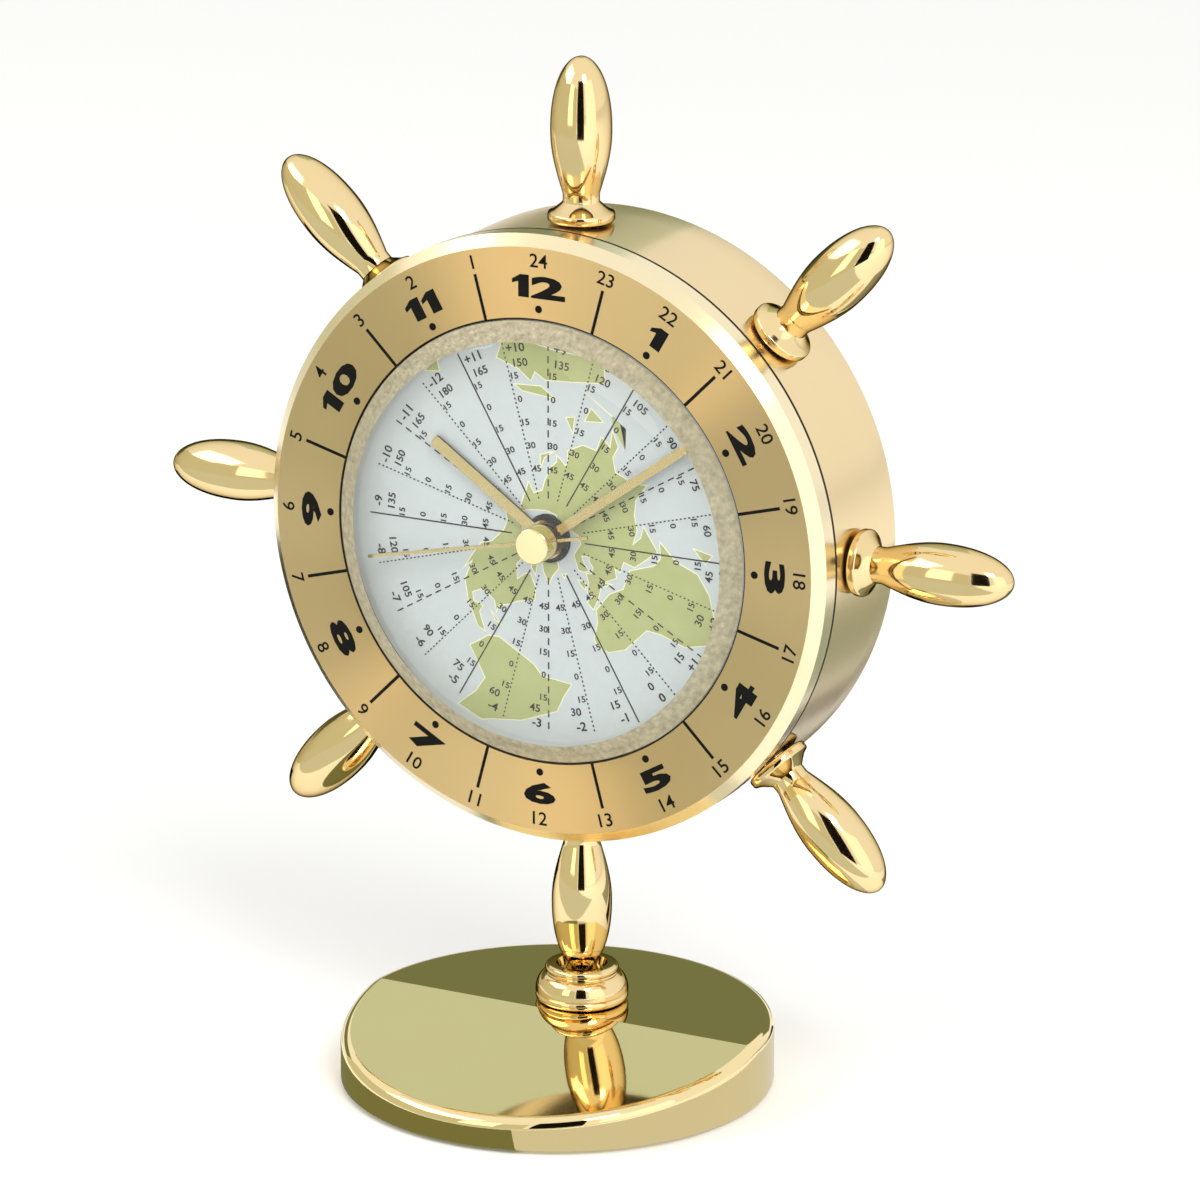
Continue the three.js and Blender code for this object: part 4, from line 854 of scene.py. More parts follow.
def filled_outline(name, points, thickness, spread):
    # A flat patch inside a closed outline that is spread outwards a little
    drawing = bpy.data.curves.new(name, "CURVE")
    drawing.dimensions = "2D"
    drawing.fill_mode = "BOTH"
    drawing.offset = spread
    drawing.extrude = thickness / 2
    spline = drawing.splines.new("POLY")
    spline.points.add(len(points) - 1)
    for point, (x, y) in zip(spline.points, points):
        point.co = (x, y, 0, 1)
    spline.use_cyclic_u = True
    patch = bpy.data.objects.new(name, drawing)
    scene.collection.objects.link(patch)
    only(patch)
    bpy.ops.object.convert(target="MESH")
    return bpy.context.object


def hour_figure(hour):
    # The figures of an hour side by side about the origin
    parts = []
    left = 0
    for sign in str(hour):
        if sign == "1":
            outline = [(x * HOUR_STRETCH * HOUR_HEIGHT, (y - 0.5) * HOUR_HEIGHT) for x, y in FIGURE_ONE]
            part = filled_outline("one", outline, PRINT_THICKNESS, 0)
        else:
            part = printed_figure(sign, HOUR_HEIGHT, HOUR_STRETCH, HOUR_WEIGHT)
        xs = [vert.co.x for vert in part.data.vertices]
        settle(part, (left - min(xs), 0, 0))
        left += max(xs) - min(xs) + FIGURE_GAP
        parts.append(part)
    made = joined("hour_figure", parts)
    settle(made, ((FIGURE_GAP - left) / 2, 0, 0))
    return made


print_height = bezel_face + PRINT_THICKNESS / 2 - PRINT_SUNK
parting_middle = (PARTING_INNER + PARTING_OUTER) / 2
print_parts = []
dot = disc("hour_dot", DOT_RADIUS, -PRINT_SUNK, PRINT_THICKNESS - PRINT_SUNK, DOT_FACETS)
parting = flat_bar(PARTING_WIDTH, PARTING_OUTER - PARTING_INNER, PRINT_THICKNESS)
for hour in range(1, 13):
    bearing = (HOUR_ANGLE * hour) % 360
    figure = hour_figure(hour)
    round_the_dial(figure, bearing, HOUR_RADIUS, print_height, True)
    hour_dot = copy_of(dot, "dot")
    round_the_dial(hour_dot, bearing, DOT_PLACE, bezel_face, False)
    line = copy_of(parting, "parting")
    round_the_dial(line, bearing + HOUR_ANGLE / 2, parting_middle, bezel_face - PRINT_SUNK, False)
    print_parts += [figure, hour_dot, line]
for day_hour in range(1, 25):
    bearing = (360 - DAY_HOUR_ANGLE * day_hour) % 360
    figure = printed_figure(str(day_hour), DAY_HOUR_HEIGHT, DAY_HOUR_STRETCH, DAY_HOUR_WEIGHT)
    round_the_dial(figure, bearing, DAY_HOUR_RADIUS, print_height, True)
    print_parts.append(figure)
bpy.data.objects.remove(dot)
bpy.data.objects.remove(parting)
hour_print = joined("hour_print", print_parts)
on_wheel(hour_print)
black_enamel = made_of("black_enamel", PRINT_BLACK, roughness=(0.35, 0.5), metallic=0, cloud=800, grain=4000,
                       relief=0.000003, others={"Specular IOR Level": 0.12})
finish_piece(hour_print, black_enamel, "case", "satin_gold")

# Inner ring: a thin spacer ring, stamped from sheet metal and coarsely grained. It is pressed between the
# crystal and the dial and keeps the map disc clear of both.
RING_FACETS = 160
RING_BREAK = 0.1 * MM
RING_GRAIN = ((0.56, 0.52, 0.4, 1), (0.2, 0.18, 0.12, 1))

ring_front, ring_back = depths("inner_ring")
ring_radius = radius_of("inner_ring")
inner_ring = turned("grained_ring", [(DIAL_OPENING, ring_back), (ring_radius, ring_back),
                                     (ring_radius, ring_front), (DIAL_OPENING + RING_BREAK, ring_front),
                                     (DIAL_OPENING, ring_front - RING_BREAK)], RING_FACETS, closed=True)
on_wheel(inner_ring)
ring_finish = made_of("grained_ring", RING_GRAIN, roughness=(0.35, 0.6), metallic=0.4, cloud=900, grain=3500,
                      relief=0.00005)
finish_piece(inner_ring, ring_finish, "case", "grained_ring", "inner_ring")

# Dial plate: a round steel plate, stamped and pierced for the arbors, that is clamped behind the bezel and
# carries the movement. The map disc hides it.
dress_nodes(steel, "dial_plate")

# Map disc: a printed disc of pale blue card that turns once a day under the hands. It shows the earth seen
# from over the north pole, with a meridian for every hour and plain figures for the zones.
MAP_FACETS = 160
MAP_HALF_WAY = 0.5
MAP_MM_PER_DEGREE = 0.24 * MM
MAP_TOP_LONGITUDE = 135
MAP_INK_HEIGHT = 0.02 * MM
MAP_HUB_HOLE = 3.8 * MM
COAST_WIDTH = 0.16 * MM
SEA_BLUE = ((0.49, 0.55, 0.565, 1), (0.45, 0.51, 0.525, 1))
LAND_GREEN = ((0.38, 0.42, 0.17, 1), (0.32, 0.36, 0.13, 1))
COAST_CREAM = ((0.76, 0.76, 0.52, 1), (0.7, 0.71, 0.47, 1))
# Coasts as places of (latitude, longitude), drawn simply
NORTH_AMERICA = [(66, -167), (71, -157), (70, -128), (68, -110), (69, -96), (60, -94), (53, -82), (60, -78),
                 (62, -72), (55, -60), (47, -58), (44, -66), (41, -71), (35, -76), (30, -81), (25, -80),
                 (30, -85), (29, -95), (21, -97), (18, -93), (21, -88), (16, -87), (9, -79), (8, -83),
                 (15, -95), (21, -105), (31, -113), (24, -111), (33, -117), (41, -124), (49, -125),
                 (58, -137), (60, -150), (55, -162), (61, -165)]
GREENLAND = [(83, -34), (77, -19), (70, -23), (65, -39), (60, -44), (67, -53), (76, -67), (81, -61)]
BAFFIN_ISLAND = [(73, -87), (70, -69), (63, -65), (66, -75)]
SOUTH_AMERICA = [(12, -72), (10, -62), (5, -52), (-1, -48), (-5, -35), (-13, -39), (-23, -42), (-34, -54),
                 (-41, -63), (-45, -66), (-45, -74), (-30, -71), (-18, -70), (-6, -81), (1, -79), (8, -77)]
AFRICA = [(36, -6), (37, 10), (31, 19), (31, 32), (15, 39), (11, 43), (11, 51), (0, 43), (-15, 40), (-25, 34),
          (-34, 26), (-34, 19), (-22, 14), (-5, 12), (4, 9), (5, -5), (9, -13), (15, -17), (21, -17),
          (29, -10)]
EURASIA = [(37, -8), (43, -9), (44, -2), (48, -4), (52, 4), (57, 9), (54, 13), (55, 20), (59, 24), (60, 29),
           (65, 25), (61, 17), (56, 14), (59, 8), (62, 5), (70, 20), (69, 33), (67, 43), (68, 56), (73, 72),
           (77, 102), (73, 116), (72, 140), (69, 170), (65, 188), (61, 175), (56, 162), (52, 157), (60, 155),
           (59, 143), (53, 139), (43, 132), (39, 128), (35, 129), (38, 124), (40, 121), (36, 120), (30, 122),
           (22, 114), (20, 106), (10, 107), (12, 101), (2, 104), (8, 98), (16, 97), (22, 91), (15, 80),
           (8, 77), (20, 73), (25, 66), (26, 57), (30, 49), (24, 53), (21, 59), (13, 46), (28, 35), (36, 36),
           (37, 28), (41, 29), (38, 23), (45, 13), (39, 17), (44, 9), (40, 0)]
AUSTRALIA = [(-11, 142), (-19, 146), (-28, 153), (-37, 150), (-39, 145), (-32, 134), (-35, 117), (-22, 114),
             (-14, 127), (-12, 136), (-17, 140)]
MADAGASCAR = [(-12, 49), (-25, 47), (-20, 44)]
BRITAIN = [(58, -4), (53, 1), (50, -4), (55, -5)]
ICELAND = [(66, -22), (65, -14), (63, -20)]
JAPAN = [(45, 142), (36, 141), (33, 131), (38, 138)]
BORNEO = [(7, 117), (-3, 116), (1, 109)]
SUMATRA_AND_JAVA = [(5, 96), (-5, 103), (-8, 114), (-6, 107), (0, 104)]
NEW_GUINEA = [(-1, 132), (-5, 146), (-10, 149), (-8, 138)]
PHILIPPINES = [(18, 121), (9, 126), (7, 122)]
NEW_ZEALAND = [(-35, 173), (-41, 177), (-46, 169), (-41, 172)]
CUBA = [(23, -83), (20, -74), (20, -78)]
LANDS = [NORTH_AMERICA, GREENLAND, BAFFIN_ISLAND, SOUTH_AMERICA, AFRICA, EURASIA, AUSTRALIA, MADAGASCAR,
         BRITAIN, ICELAND, JAPAN, BORNEO, SUMATRA_AND_JAVA, NEW_GUINEA, PHILIPPINES, NEW_ZEALAND, CUBA]
MERIDIAN_START = 6.2 * MM
MERIDIAN_END = 31 * MM
MERIDIAN_WIDTH = 0.2 * MM
MERIDIAN_HEIGHT = 3 * MAP_INK_HEIGHT
# Length of a stroke and of the step to the next one for each kind of meridian
MERIDIAN_KINDS = [(1.1 * MM, 1.9 * MM), (0.3 * MM, 0.7 * MM), (24.6 * MM, 24.8 * MM), (0.3 * MM, 0.7 * MM)]
ZONE_RADIUS = 29.4 * MM
ZONE_HEIGHT = 1.4 * MM
ZONE_ASIDE = 4
DEGREE_RADIUS = 27.1 * MM
DEGREE_HEIGHT = 1.25 * MM
DEGREE_ASIDE = 5
LATITUDES = (45, 30, 15, 0, -15)
LATITUDE_HEIGHT = 1 * MM
LATITUDE_ASIDE = 0.85 * MM
LATITUDE_STRETCH = 1.15
MAP_FIGURE_STRETCH = 1.1
MAP_FIGURE_WEIGHT = 0.018

map_radius = radius_of("map_disc")
map_front, map_back = depths("map_disc")
map_disc = turned("map_card", [(MAP_HUB_HOLE, map_back), (map_radius, map_back), (map_radius, map_front),
                               (map_radius * MAP_HALF_WAY, map_front), (MAP_HUB_HOLE, map_front)],
                  MAP_FACETS, closed=True)
on_wheel(map_disc)
sea_print = made_of("sea_print", SEA_BLUE, roughness=(0.5, 0.62), metallic=0, cloud=120, grain=5000,
                    relief=0.000008)
finish_piece(map_disc, sea_print, "day", "printed_dial", "map_disc")


def on_map(latitude, longitude):
    angle = math.radians(MAP_TOP_LONGITUDE - longitude)
    reach = (90 - latitude) * MAP_MM_PER_DEGREE
    return reach * math.sin(angle), reach * math.cos(angle)


def land_patches(name, spread, height):
    # All the lands as flat patches, spread outwards a little and stood at a height over the card
    patches = [filled_outline(name, [on_map(*place) for place in coast], height, spread) for coast in LANDS]
    made = joined(name, patches)
    settle(made, (0, 0, map_front + height / 2))
    on_wheel(made)
    return made


coast_ink = made_of("coast_ink", COAST_CREAM, roughness=(0.5, 0.6), metallic=0, cloud=300, grain=5000,
                    relief=0.000008)
land_ink = made_of("land_ink", LAND_GREEN, roughness=(0.5, 0.62), metallic=0, cloud=350, grain=5000,
                   relief=0.000008)
finish_piece(land_patches("map_coasts", COAST_WIDTH / 2, MAP_INK_HEIGHT), coast_ink, "day", "printed_dial")
finish_piece(land_patches("map_lands", -COAST_WIDTH / 2, 2 * MAP_INK_HEIGHT), land_ink, "day", "printed_dial")


def round_the_map(figure, bearing, reach):
    round_the_dial(figure, bearing % 360, reach, map_front + MERIDIAN_HEIGHT / 2, True)
    return figure


map_parts = []
latitude_figures = []
for latitude in LATITUDES:
    figure = printed_figure(str(abs(latitude)), LATITUDE_HEIGHT, LATITUDE_STRETCH, MAP_FIGURE_WEIGHT)
    latitude_figures.append((figure, (90 - latitude) * MAP_MM_PER_DEGREE))
for hour in range(24):
    stroke, step = MERIDIAN_KINDS[hour % len(MERIDIAN_KINDS)]
    line = flat_bar(MERIDIAN_WIDTH, stroke, MERIDIAN_HEIGHT)
    modified(line, "ARRAY", count=max(1, int((MERIDIAN_END - MERIDIAN_START) / step)),
             use_relative_offset=False, use_constant_offset=True, constant_offset_displace=(0, step, 0))
    bearing = DAY_HOUR_ANGLE * hour
    round_the_dial(line, bearing, MERIDIAN_START + stroke / 2, map_front, False)
    east = (MAP_TOP_LONGITUDE - bearing + 180) % 360 - 180
    zone = "%+d" % round(east / DAY_HOUR_ANGLE) if east else "0"
    zone_figure = printed_figure(zone, ZONE_HEIGHT, MAP_FIGURE_STRETCH, MAP_FIGURE_WEIGHT)
    degree_figure = printed_figure(str(abs(east)), DEGREE_HEIGHT, MAP_FIGURE_STRETCH, MAP_FIGURE_WEIGHT)
    map_parts += [line, round_the_map(zone_figure, bearing + ZONE_ASIDE, ZONE_RADIUS),
                  round_the_map(degree_figure, bearing + DEGREE_ASIDE, DEGREE_RADIUS)]
    for figure, reach in latitude_figures:
        aside = math.degrees(LATITUDE_ASIDE / reach)
        map_parts.append(round_the_map(copy_of(figure, "latitude"), bearing + aside, reach))
for figure, reach in latitude_figures:
    bpy.data.objects.remove(figure)
map_print = joined("map_print", map_parts)
on_wheel(map_print)
finish_piece(map_print, black_enamel, "day", "printed_dial")

# Hub of the map disc: a round plate, stamped and enamelled black, that is pressed on the day wheel's tube and
# clamps the middle of the disc.
HUB_PLATE_FACETS = 64
HUB_PLATE_RADIUS = 3.72 * MM
HUB_PLATE_THICKNESS = 0.12 * MM
HUB_PLATE_BORE = 1.9 * MM
MOULDED_BLACK = ((0.012, 0.012, 0.013, 1), (0.022, 0.022, 0.023, 1))

hub_back = depths("day_wheel")[0]
hub_front = hub_back + HUB_PLATE_THICKNESS
hub_plate = turned("map_hub", [(HUB_PLATE_BORE, hub_back), (HUB_PLATE_RADIUS, hub_back),
                               (HUB_PLATE_RADIUS, hub_front), (HUB_PLATE_BORE, hub_front)],
                   HUB_PLATE_FACETS, closed=True)
on_wheel(hub_plate)
black_plastic = made_of("black_plastic", MOULDED_BLACK, roughness=(0.38, 0.5), metallic=0, cloud=200,
                        grain=2600, relief=0.00002)
finish_piece(hub_plate, black_enamel, "day", "black_plastic")
dress_nodes(black_plastic, "day_wheel")

# Hands: flat gold batons stamped from sheet brass with broken edges, pressed on their tubes. The second hand
# is a thin needle with a tail.
HAND_FACETS = 48
HAND_CORNER_SHARE = 0.3
HAND_CORNER_STEPS = 4
HAND_BREAK = 0.17 * MM
HAND_BREAK_SHARE = 0.15
HAND_TOP_FACING = 0.95
EDGE_BREAK_ANGLE = math.radians(50)
EDGE_BREAK_STEPS = 2
# Each hand's node, body, bearing, length, tail, width, boss and bore
HANDS = [("hour_hand", "hour", 304.5, 23.3 * MM, 0, 1.85 * MM, 3 * MM, 1.75 * MM),
         ("minute_hand", "minute", 54, 30.2 * MM, 0, 1.45 * MM, 2.4 * MM, 1.25 * MM),
         ("second_hand", "seconds", 258, 30.6 * MM, 8 * MM, 0.5 * MM, 1.6 * MM, 0.55 * MM)]
HAND_GOLD = ((0.52, 0.43, 0.2, 1), (0.48, 0.39, 0.17, 1))
# Painted shade: the dark brown of the hands' sides and broken edges, the dark outline that shadow gives each
# hand
HAND_EDGE_SHADE = ((0.1, 0.065, 0.02, 1), (0.06, 0.04, 0.012, 1))


def shaped(piece, kind, tool):
    # Joins a tool shape to the piece or cuts it away, and drops the tool
    modified(piece, "BOOLEAN", operation=kind, object=tool)
    bpy.data.objects.remove(tool)


def edges_broken(piece, width):
    modified(piece, "BEVEL", width=width, segments=EDGE_BREAK_STEPS, limit_method="ANGLE",
             angle_limit=EDGE_BREAK_ANGLE)
    smooth(piece)
    keep_flat(piece)


hand_gold = made_of("hand_gold", HAND_GOLD, roughness=(0.16, 0.24), metallic=1, cloud=150, grain=3000,
                    relief=0.000003)
hand_edge_shade = made_of("hand_edge_shade", HAND_EDGE_SHADE, roughness=(0.3, 0.45), metallic=1, cloud=400, grain=3000,
                    relief=0.000003)
for node, body, bearing, length, tail, width, boss_radius, bore in HANDS:
    hand_front, hand_back = depths(node)
    blade = flat_bar(width, length + tail, hand_front - hand_back)
    settle(blade, (0, (length - tail) / 2, hand_back))
    bevelled(blade, lambda edge: abs(edge.verts[0].co.z - edge.verts[1].co.z) > HAND_BREAK,
             width * HAND_CORNER_SHARE, HAND_CORNER_STEPS)
    boss = disc("boss", boss_radius, hand_back, hand_front, HAND_FACETS)
    hole = disc("hole", bore, hand_back - MM, hand_front + MM, HAND_FACETS)
    shaped(blade, "UNION", boss)
    shaped(blade, "DIFFERENCE", hole)
    edges_broken(blade, min(HAND_BREAK, width * HAND_BREAK_SHARE))
    blade.name = node + "_blade"
    settle(blade, (0, 0, 0), (0, 0, -math.radians(bearing)))
    on_wheel(blade)
    finish_piece(blade, hand_gold, body, "satin_gold", node)
    # The sides and broken edges of the wider hands are made dark brown: painted shade
    if node != "second_hand":
        dress_faces(blade, hand_edge_shade, lambda face: face.normal.y > -HAND_TOP_FACING)

# Hand cap: a small button turned from brass, plated and polished. It is pressed on the end of the second
# hand's arbor and turns with it.
CAP_FACETS = 64
CAP_EDGE = 0.35 * MM
CAP_STEPS = 6
CAP_FOOT_BREAK = 0.1 * MM

cap_radius = radius_of("hand_cap")
cap_front, cap_back = depths("hand_cap")
cap_rings = [(cap_radius - CAP_FOOT_BREAK, cap_back), (cap_radius, cap_back + CAP_FOOT_BREAK)]
cap_rings += rounded(cap_radius - CAP_EDGE, cap_front - CAP_EDGE, CAP_EDGE, CAP_EDGE, 0, 90, CAP_STEPS)
hand_cap = turned("hand_button", cap_rings, CAP_FACETS)
on_wheel(hand_cap)
finish_piece(hand_cap, polished_gold, "seconds", "polished_gold", "hand_cap")

# Crystal: a clear acrylic window, a low dome with a wide ground bevel that stands proud of the bezel. Its rim
# is held behind the bezel's lip.
CRYSTAL_FACETS = 160
CRYSTAL_BEVEL_WIDTH = 3 * MM
CRYSTAL_BEVEL_RISE = 1.7 * MM
CRYSTAL_THICKNESS = 1 * MM
CRYSTAL_RIM = 34.25 * MM
CRYSTAL_FLANGE_FRONT = 0.9 * MM
CRYSTAL_DOME_STEPS = 8
CRYSTAL_MIDDLE = 0.2 * MM
CRYSTAL_IOR = 1.49
BEVEL_FACING = 0.3
GROUND_BEVEL = ((0.74, 0.65, 0.43, 1), (0.17, 0.15, 0.09, 1))

crystal_edge = radius_of("crystal")
crystal_top, crystal_back = depths("crystal")
shoulder_radius = CRYSTAL_RIM - CRYSTAL_BEVEL_WIDTH
shoulder = bezel_face + CRYSTAL_BEVEL_RISE
flange_front = bezel_face - CRYSTAL_FLANGE_FRONT
inner_rim = CRYSTAL_RIM - CRYSTAL_THICKNESS


def dome_rings(lowered):
    # The dome from its middle to its shoulder, lowered for the inside
    rings = []
    for i in range(CRYSTAL_DOME_STEPS + 1):
        share = i / CRYSTAL_DOME_STEPS
        radius = max(shoulder_radius * share, CRYSTAL_MIDDLE)
        rings.append((radius, crystal_top + (shoulder - crystal_top) * share ** 2 - lowered))
    return rings


crystal_rings = dome_rings(0) + [(CRYSTAL_RIM, bezel_face), (CRYSTAL_RIM, flange_front),
                                 (crystal_edge, flange_front), (crystal_edge, crystal_back),
                                 (inner_rim, crystal_back), (inner_rim, bezel_face - CRYSTAL_THICKNESS / 2)]
crystal_rings += reversed(dome_rings(CRYSTAL_THICKNESS))
crystal = turned("crystal_window", crystal_rings, CRYSTAL_FACETS)
on_wheel(crystal)


def acrylic(name, roughness, clearness):
    # Acrylic that lets lamp light through to the dial
    made, tree, shader = start_material(name, {"Base Color": (1, 1, 1, 1), "Roughness": roughness,
                                               "IOR": CRYSTAL_IOR, "Transmission Weight": clearness})
    ray_kind = add_node(tree, "ShaderNodeLightPath")
    clear = add_node(tree, "ShaderNodeBsdfTransparent")
    either = add_node(tree, "ShaderNodeMixShader")
    wire(tree, (ray_kind, "Is Shadow Ray", either, "Fac"), (shader, "BSDF", either, 1),
         (clear, "BSDF", either, 2), (either, "Shader", tree.nodes["Material Output"], "Surface"))
    return made


def is_ground(face):
    in_front = face.normal.y < -BEVEL_FACING and face.center.y < wheel_y - bezel_face
    return in_front and shoulder_radius < reach_of(face) < CRYSTAL_RIM


clear_acrylic = acrylic("clear_acrylic", roughness=0.01, clearness=1)
ground_acrylic = acrylic("ground_acrylic", roughness=0.3, clearness=0.3)
ground_tree = ground_acrylic.node_tree
grained(ground_tree, ground_tree.nodes["Principled BSDF"], GROUND_BEVEL, cloud=1100, grain=1600, relief=0.0002)
finish_piece(crystal, clear_acrylic, "case", "crystal_glass", "crystal")
dress_faces(crystal, ground_acrylic, is_ground)

# Movement: a quartz movement in a white moulded housing, with brass and plastic wheels, a steel arbor set, a
# coil on its stator and a circuit board. It is fixed to the dial plate and the case hides it.
BRASS = ((0.55, 0.38, 0.13, 1), (0.45, 0.3, 0.1, 1))
HOUSING_WHITE = ((0.74, 0.73, 0.68, 1), (0.68, 0.66, 0.6, 1))
MAGNET_GREY = ((0.05, 0.05, 0.052, 1), (0.03, 0.03, 0.03, 1))
COPPER = ((0.58, 0.2, 0.07, 1), (0.36, 0.11, 0.04, 1))
BOARD_GREEN = ((0.01, 0.09, 0.04, 1), (0.008, 0.06, 0.03, 1))

brass = made_of("brass", BRASS, roughness=(0.2, 0.34), metallic=1, cloud=300, grain=3000, relief=0.000004)
white_plastic = made_of("white_plastic", HOUSING_WHITE, roughness=(0.4, 0.55), metallic=0, cloud=90,
                        grain=2600, relief=0.00002)
magnet = made_of("magnet", MAGNET_GREY, roughness=(0.4, 0.6), metallic=0.6, cloud=500, grain=4000,
                 relief=0.00001)
copper_coil = made_of("copper_coil", COPPER, roughness=(0.25, 0.4), metallic=1, cloud=1500, grain=9000,
                      relief=0.00004)
circuit_board = made_of("circuit_board", BOARD_GREEN, roughness=(0.3, 0.45), metallic=0, cloud=400,
                        grain=5000, relief=0.00001)
dress_nodes(white_plastic, "movement_front", "movement_rear", "train_bridge", "hour_wheel", "minute_wheel",
            "day_idler", "third_wheel", "second_wheel", "step_wheel")
dress_nodes(brass, "cannon_pinion", "centre_wheel", "setting_shaft")
dress_nodes(steel, "movement_screw_1", "movement_screw_2", "stator", "battery_contact_positive",
            "battery_contact_negative")
dress_nodes(magnet, "rotor")
dress_nodes(copper_coil, "coil")
dress_nodes(circuit_board, "circuit_board")

# Battery: one round cell in a drawn steel can with a plain printed sleeve. Two spring plates hold it in its
# bay in the movement's housing, behind the battery door.
BATTERY_FACETS = 64
CAN_EDGE = 0.6 * MM
CAN_STEPS = 5
CAN_FOOT_RISE = 0.1 * MM
CAN_FOOT_ARC = -80
CAN_TOP_ARC = 85
NUB_RADIUS = 2.7 * MM
NUB_LENGTH = 1.2 * MM
NUB_FILLET_WIDTH = 0.4 * MM
NUB_FILLET_HEIGHT = 0.2 * MM
NUB_EDGE = 0.3 * MM
END_FACING = 0.5
SLEEVE_GREY = ((0.28, 0.3, 0.33, 1), (0.24, 0.26, 0.29, 1))

battery_low, battery_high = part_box("battery")
battery_middle = (battery_low + battery_high) / 2
battery_radius = (battery_high.y - battery_low.y) / 2
battery_length = battery_high.x - battery_low.x
can_length = battery_length - NUB_LENGTH
can_flat = battery_radius - CAN_EDGE
battery_rings = [(can_flat - CAN_EDGE, 0), (can_flat, CAN_FOOT_RISE)]
battery_rings += rounded(can_flat, CAN_EDGE, CAN_EDGE, CAN_EDGE, CAN_FOOT_ARC, 0, CAN_STEPS)
battery_rings += rounded(can_flat, can_length - CAN_EDGE, CAN_EDGE, CAN_EDGE, 0, CAN_TOP_ARC, CAN_STEPS)
battery_rings += [(NUB_RADIUS + NUB_FILLET_WIDTH, can_length), (NUB_RADIUS, can_length + NUB_FILLET_HEIGHT),
                  (NUB_RADIUS, battery_length - NUB_EDGE), (NUB_RADIUS - NUB_EDGE, battery_length)]
battery = turned("battery_cell", battery_rings, BATTERY_FACETS)
settle(battery, (battery_low.x, battery_middle.y, battery_middle.z), (0, math.pi / 2, 0))
battery_sleeve = made_of("battery_sleeve", SLEEVE_GREY, roughness=(0.25, 0.35), metallic=0.6, cloud=200,
                         grain=4000, relief=0.000004)
finish_piece(battery, battery_sleeve, "case", "battery_jacket", "battery")
dress_faces(battery, steel, lambda face: abs(face.normal.x) > END_FACING)

# Back cover: a black moulded disc with a fine texture, let into the back of the drum and held by four screws.
# It has a hole for the setting knob and an opening for the battery door.
COVER_FACETS = 160
COVER_RADIUS = 44.8 * MM
COVER_EDGE = 0.3 * MM
COVER_RIB_INNER = 40.6 * MM
COVER_RIB_OUTER = 41.4 * MM
COVER_RIB_HEIGHT = 0.22 * MM
COVER_RIB_DRAFT = 0.1 * MM
KNOB_CLEAR = 0.5 * MM
KNOB_HOLE_FACETS = 64
KNOB_HOLE_REACH = 20 * MM
KNOB_RING_WIDTH = 1.3 * MM
MOULDED_HEIGHT = 0.35 * MM
MOULDED_ROOT = 0.2 * MM
MOULDED_BREAK = 0.12 * MM
ARROW_RADIUS = 8.6 * MM
ARROW_WIDTH = 0.9 * MM
ARROW_HEAD = 2.4 * MM
ARROW_START = 40
ARROW_END = 140
ARROW_STEPS = 16
DOOR_CLEAR = 0.3 * MM
DOOR_CORNER = 1.5 * MM
DOOR_HOLE_REACH = 5 * MM
BLOCK_STEPS = 5
BLOCK_LEAST_DEPTH = 0.1 * MM

cover_front, cover_back = depths("back_cover")
knob_low, knob_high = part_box("setting_knob")
knob_middle = (knob_low + knob_high) / 2
knob_radius = radius_of("setting_knob")
door_low, door_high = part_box("battery_door")
rib_back = cover_back - COVER_RIB_HEIGHT
mark_top = cover_back - MOULDED_HEIGHT
mark_root = cover_back + MOULDED_ROOT


def rounded_block(name, low, high, corner):
    # A block with its four edges along the clock's depth rounded
    deselect()
    bpy.ops.mesh.primitive_cube_add(size=1, location=(Vector(low) + Vector(high)) / 2)
    bpy.context.object.scale = Vector(high) - Vector(low)
    block = started(name)
    bevelled(block, lambda edge: abs(edge.verts[0].co.y - edge.verts[1].co.y) > BLOCK_LEAST_DEPTH, corner,
             BLOCK_STEPS)
    return block


def at_knob(piece, y):
    # Stands a shape that is drawn flat about the knob's axis
    settle(piece, (knob_middle.x, y, knob_middle.z), (math.pi / 2, 0, 0))
    return piece


def arc_points(radius, start, end, steps):
    # Places on an arc about the origin, by angles in degrees from the right
    return rounded(0, 0, radius, radius, start, end, steps)


cover = turned("rear_cover", [(COVER_RADIUS, cover_front), (COVER_RADIUS, cover_back + COVER_EDGE),
                              (COVER_RADIUS - COVER_EDGE, cover_back), (COVER_RIB_OUTER, cover_back),
                              (COVER_RIB_OUTER - COVER_RIB_DRAFT, rib_back),
                              (COVER_RIB_INNER + COVER_RIB_DRAFT, rib_back), (COVER_RIB_INNER, cover_back)],
               COVER_FACETS)
on_wheel(cover)
knob_hole_radius = knob_radius + KNOB_CLEAR
knob_ring = disc("knob_ring", knob_hole_radius + KNOB_RING_WIDTH, mark_root, mark_top, COVER_FACETS)
shaped(cover, "UNION", at_knob(knob_ring, wheel_y))
head_angle = ARROW_END + math.degrees(ARROW_HEAD / ARROW_RADIUS)
arrow_outline = arc_points(ARROW_RADIUS + ARROW_WIDTH / 2, ARROW_START, ARROW_END, ARROW_STEPS)
for radius, angle in ((ARROW_RADIUS + ARROW_HEAD / 2, ARROW_END), (ARROW_RADIUS, head_angle),
                      (ARROW_RADIUS - ARROW_HEAD / 2, ARROW_END)):
    arrow_outline += arc_points(radius, angle, angle, 1)[:1]
arrow_outline += arc_points(ARROW_RADIUS - ARROW_WIDTH / 2, ARROW_END, ARROW_START, ARROW_STEPS)
arrow = filled_outline("setting_arrow", arrow_outline, MOULDED_HEIGHT + MOULDED_ROOT, 0)
shaped(cover, "UNION", at_knob(arrow, wheel_y - (mark_top + mark_root) / 2))
knob_hole = disc("knob_hole", knob_hole_radius, -KNOB_HOLE_REACH, KNOB_HOLE_REACH, KNOB_HOLE_FACETS)
shaped(cover, "DIFFERENCE", at_knob(knob_hole, wheel_y - cover_back))
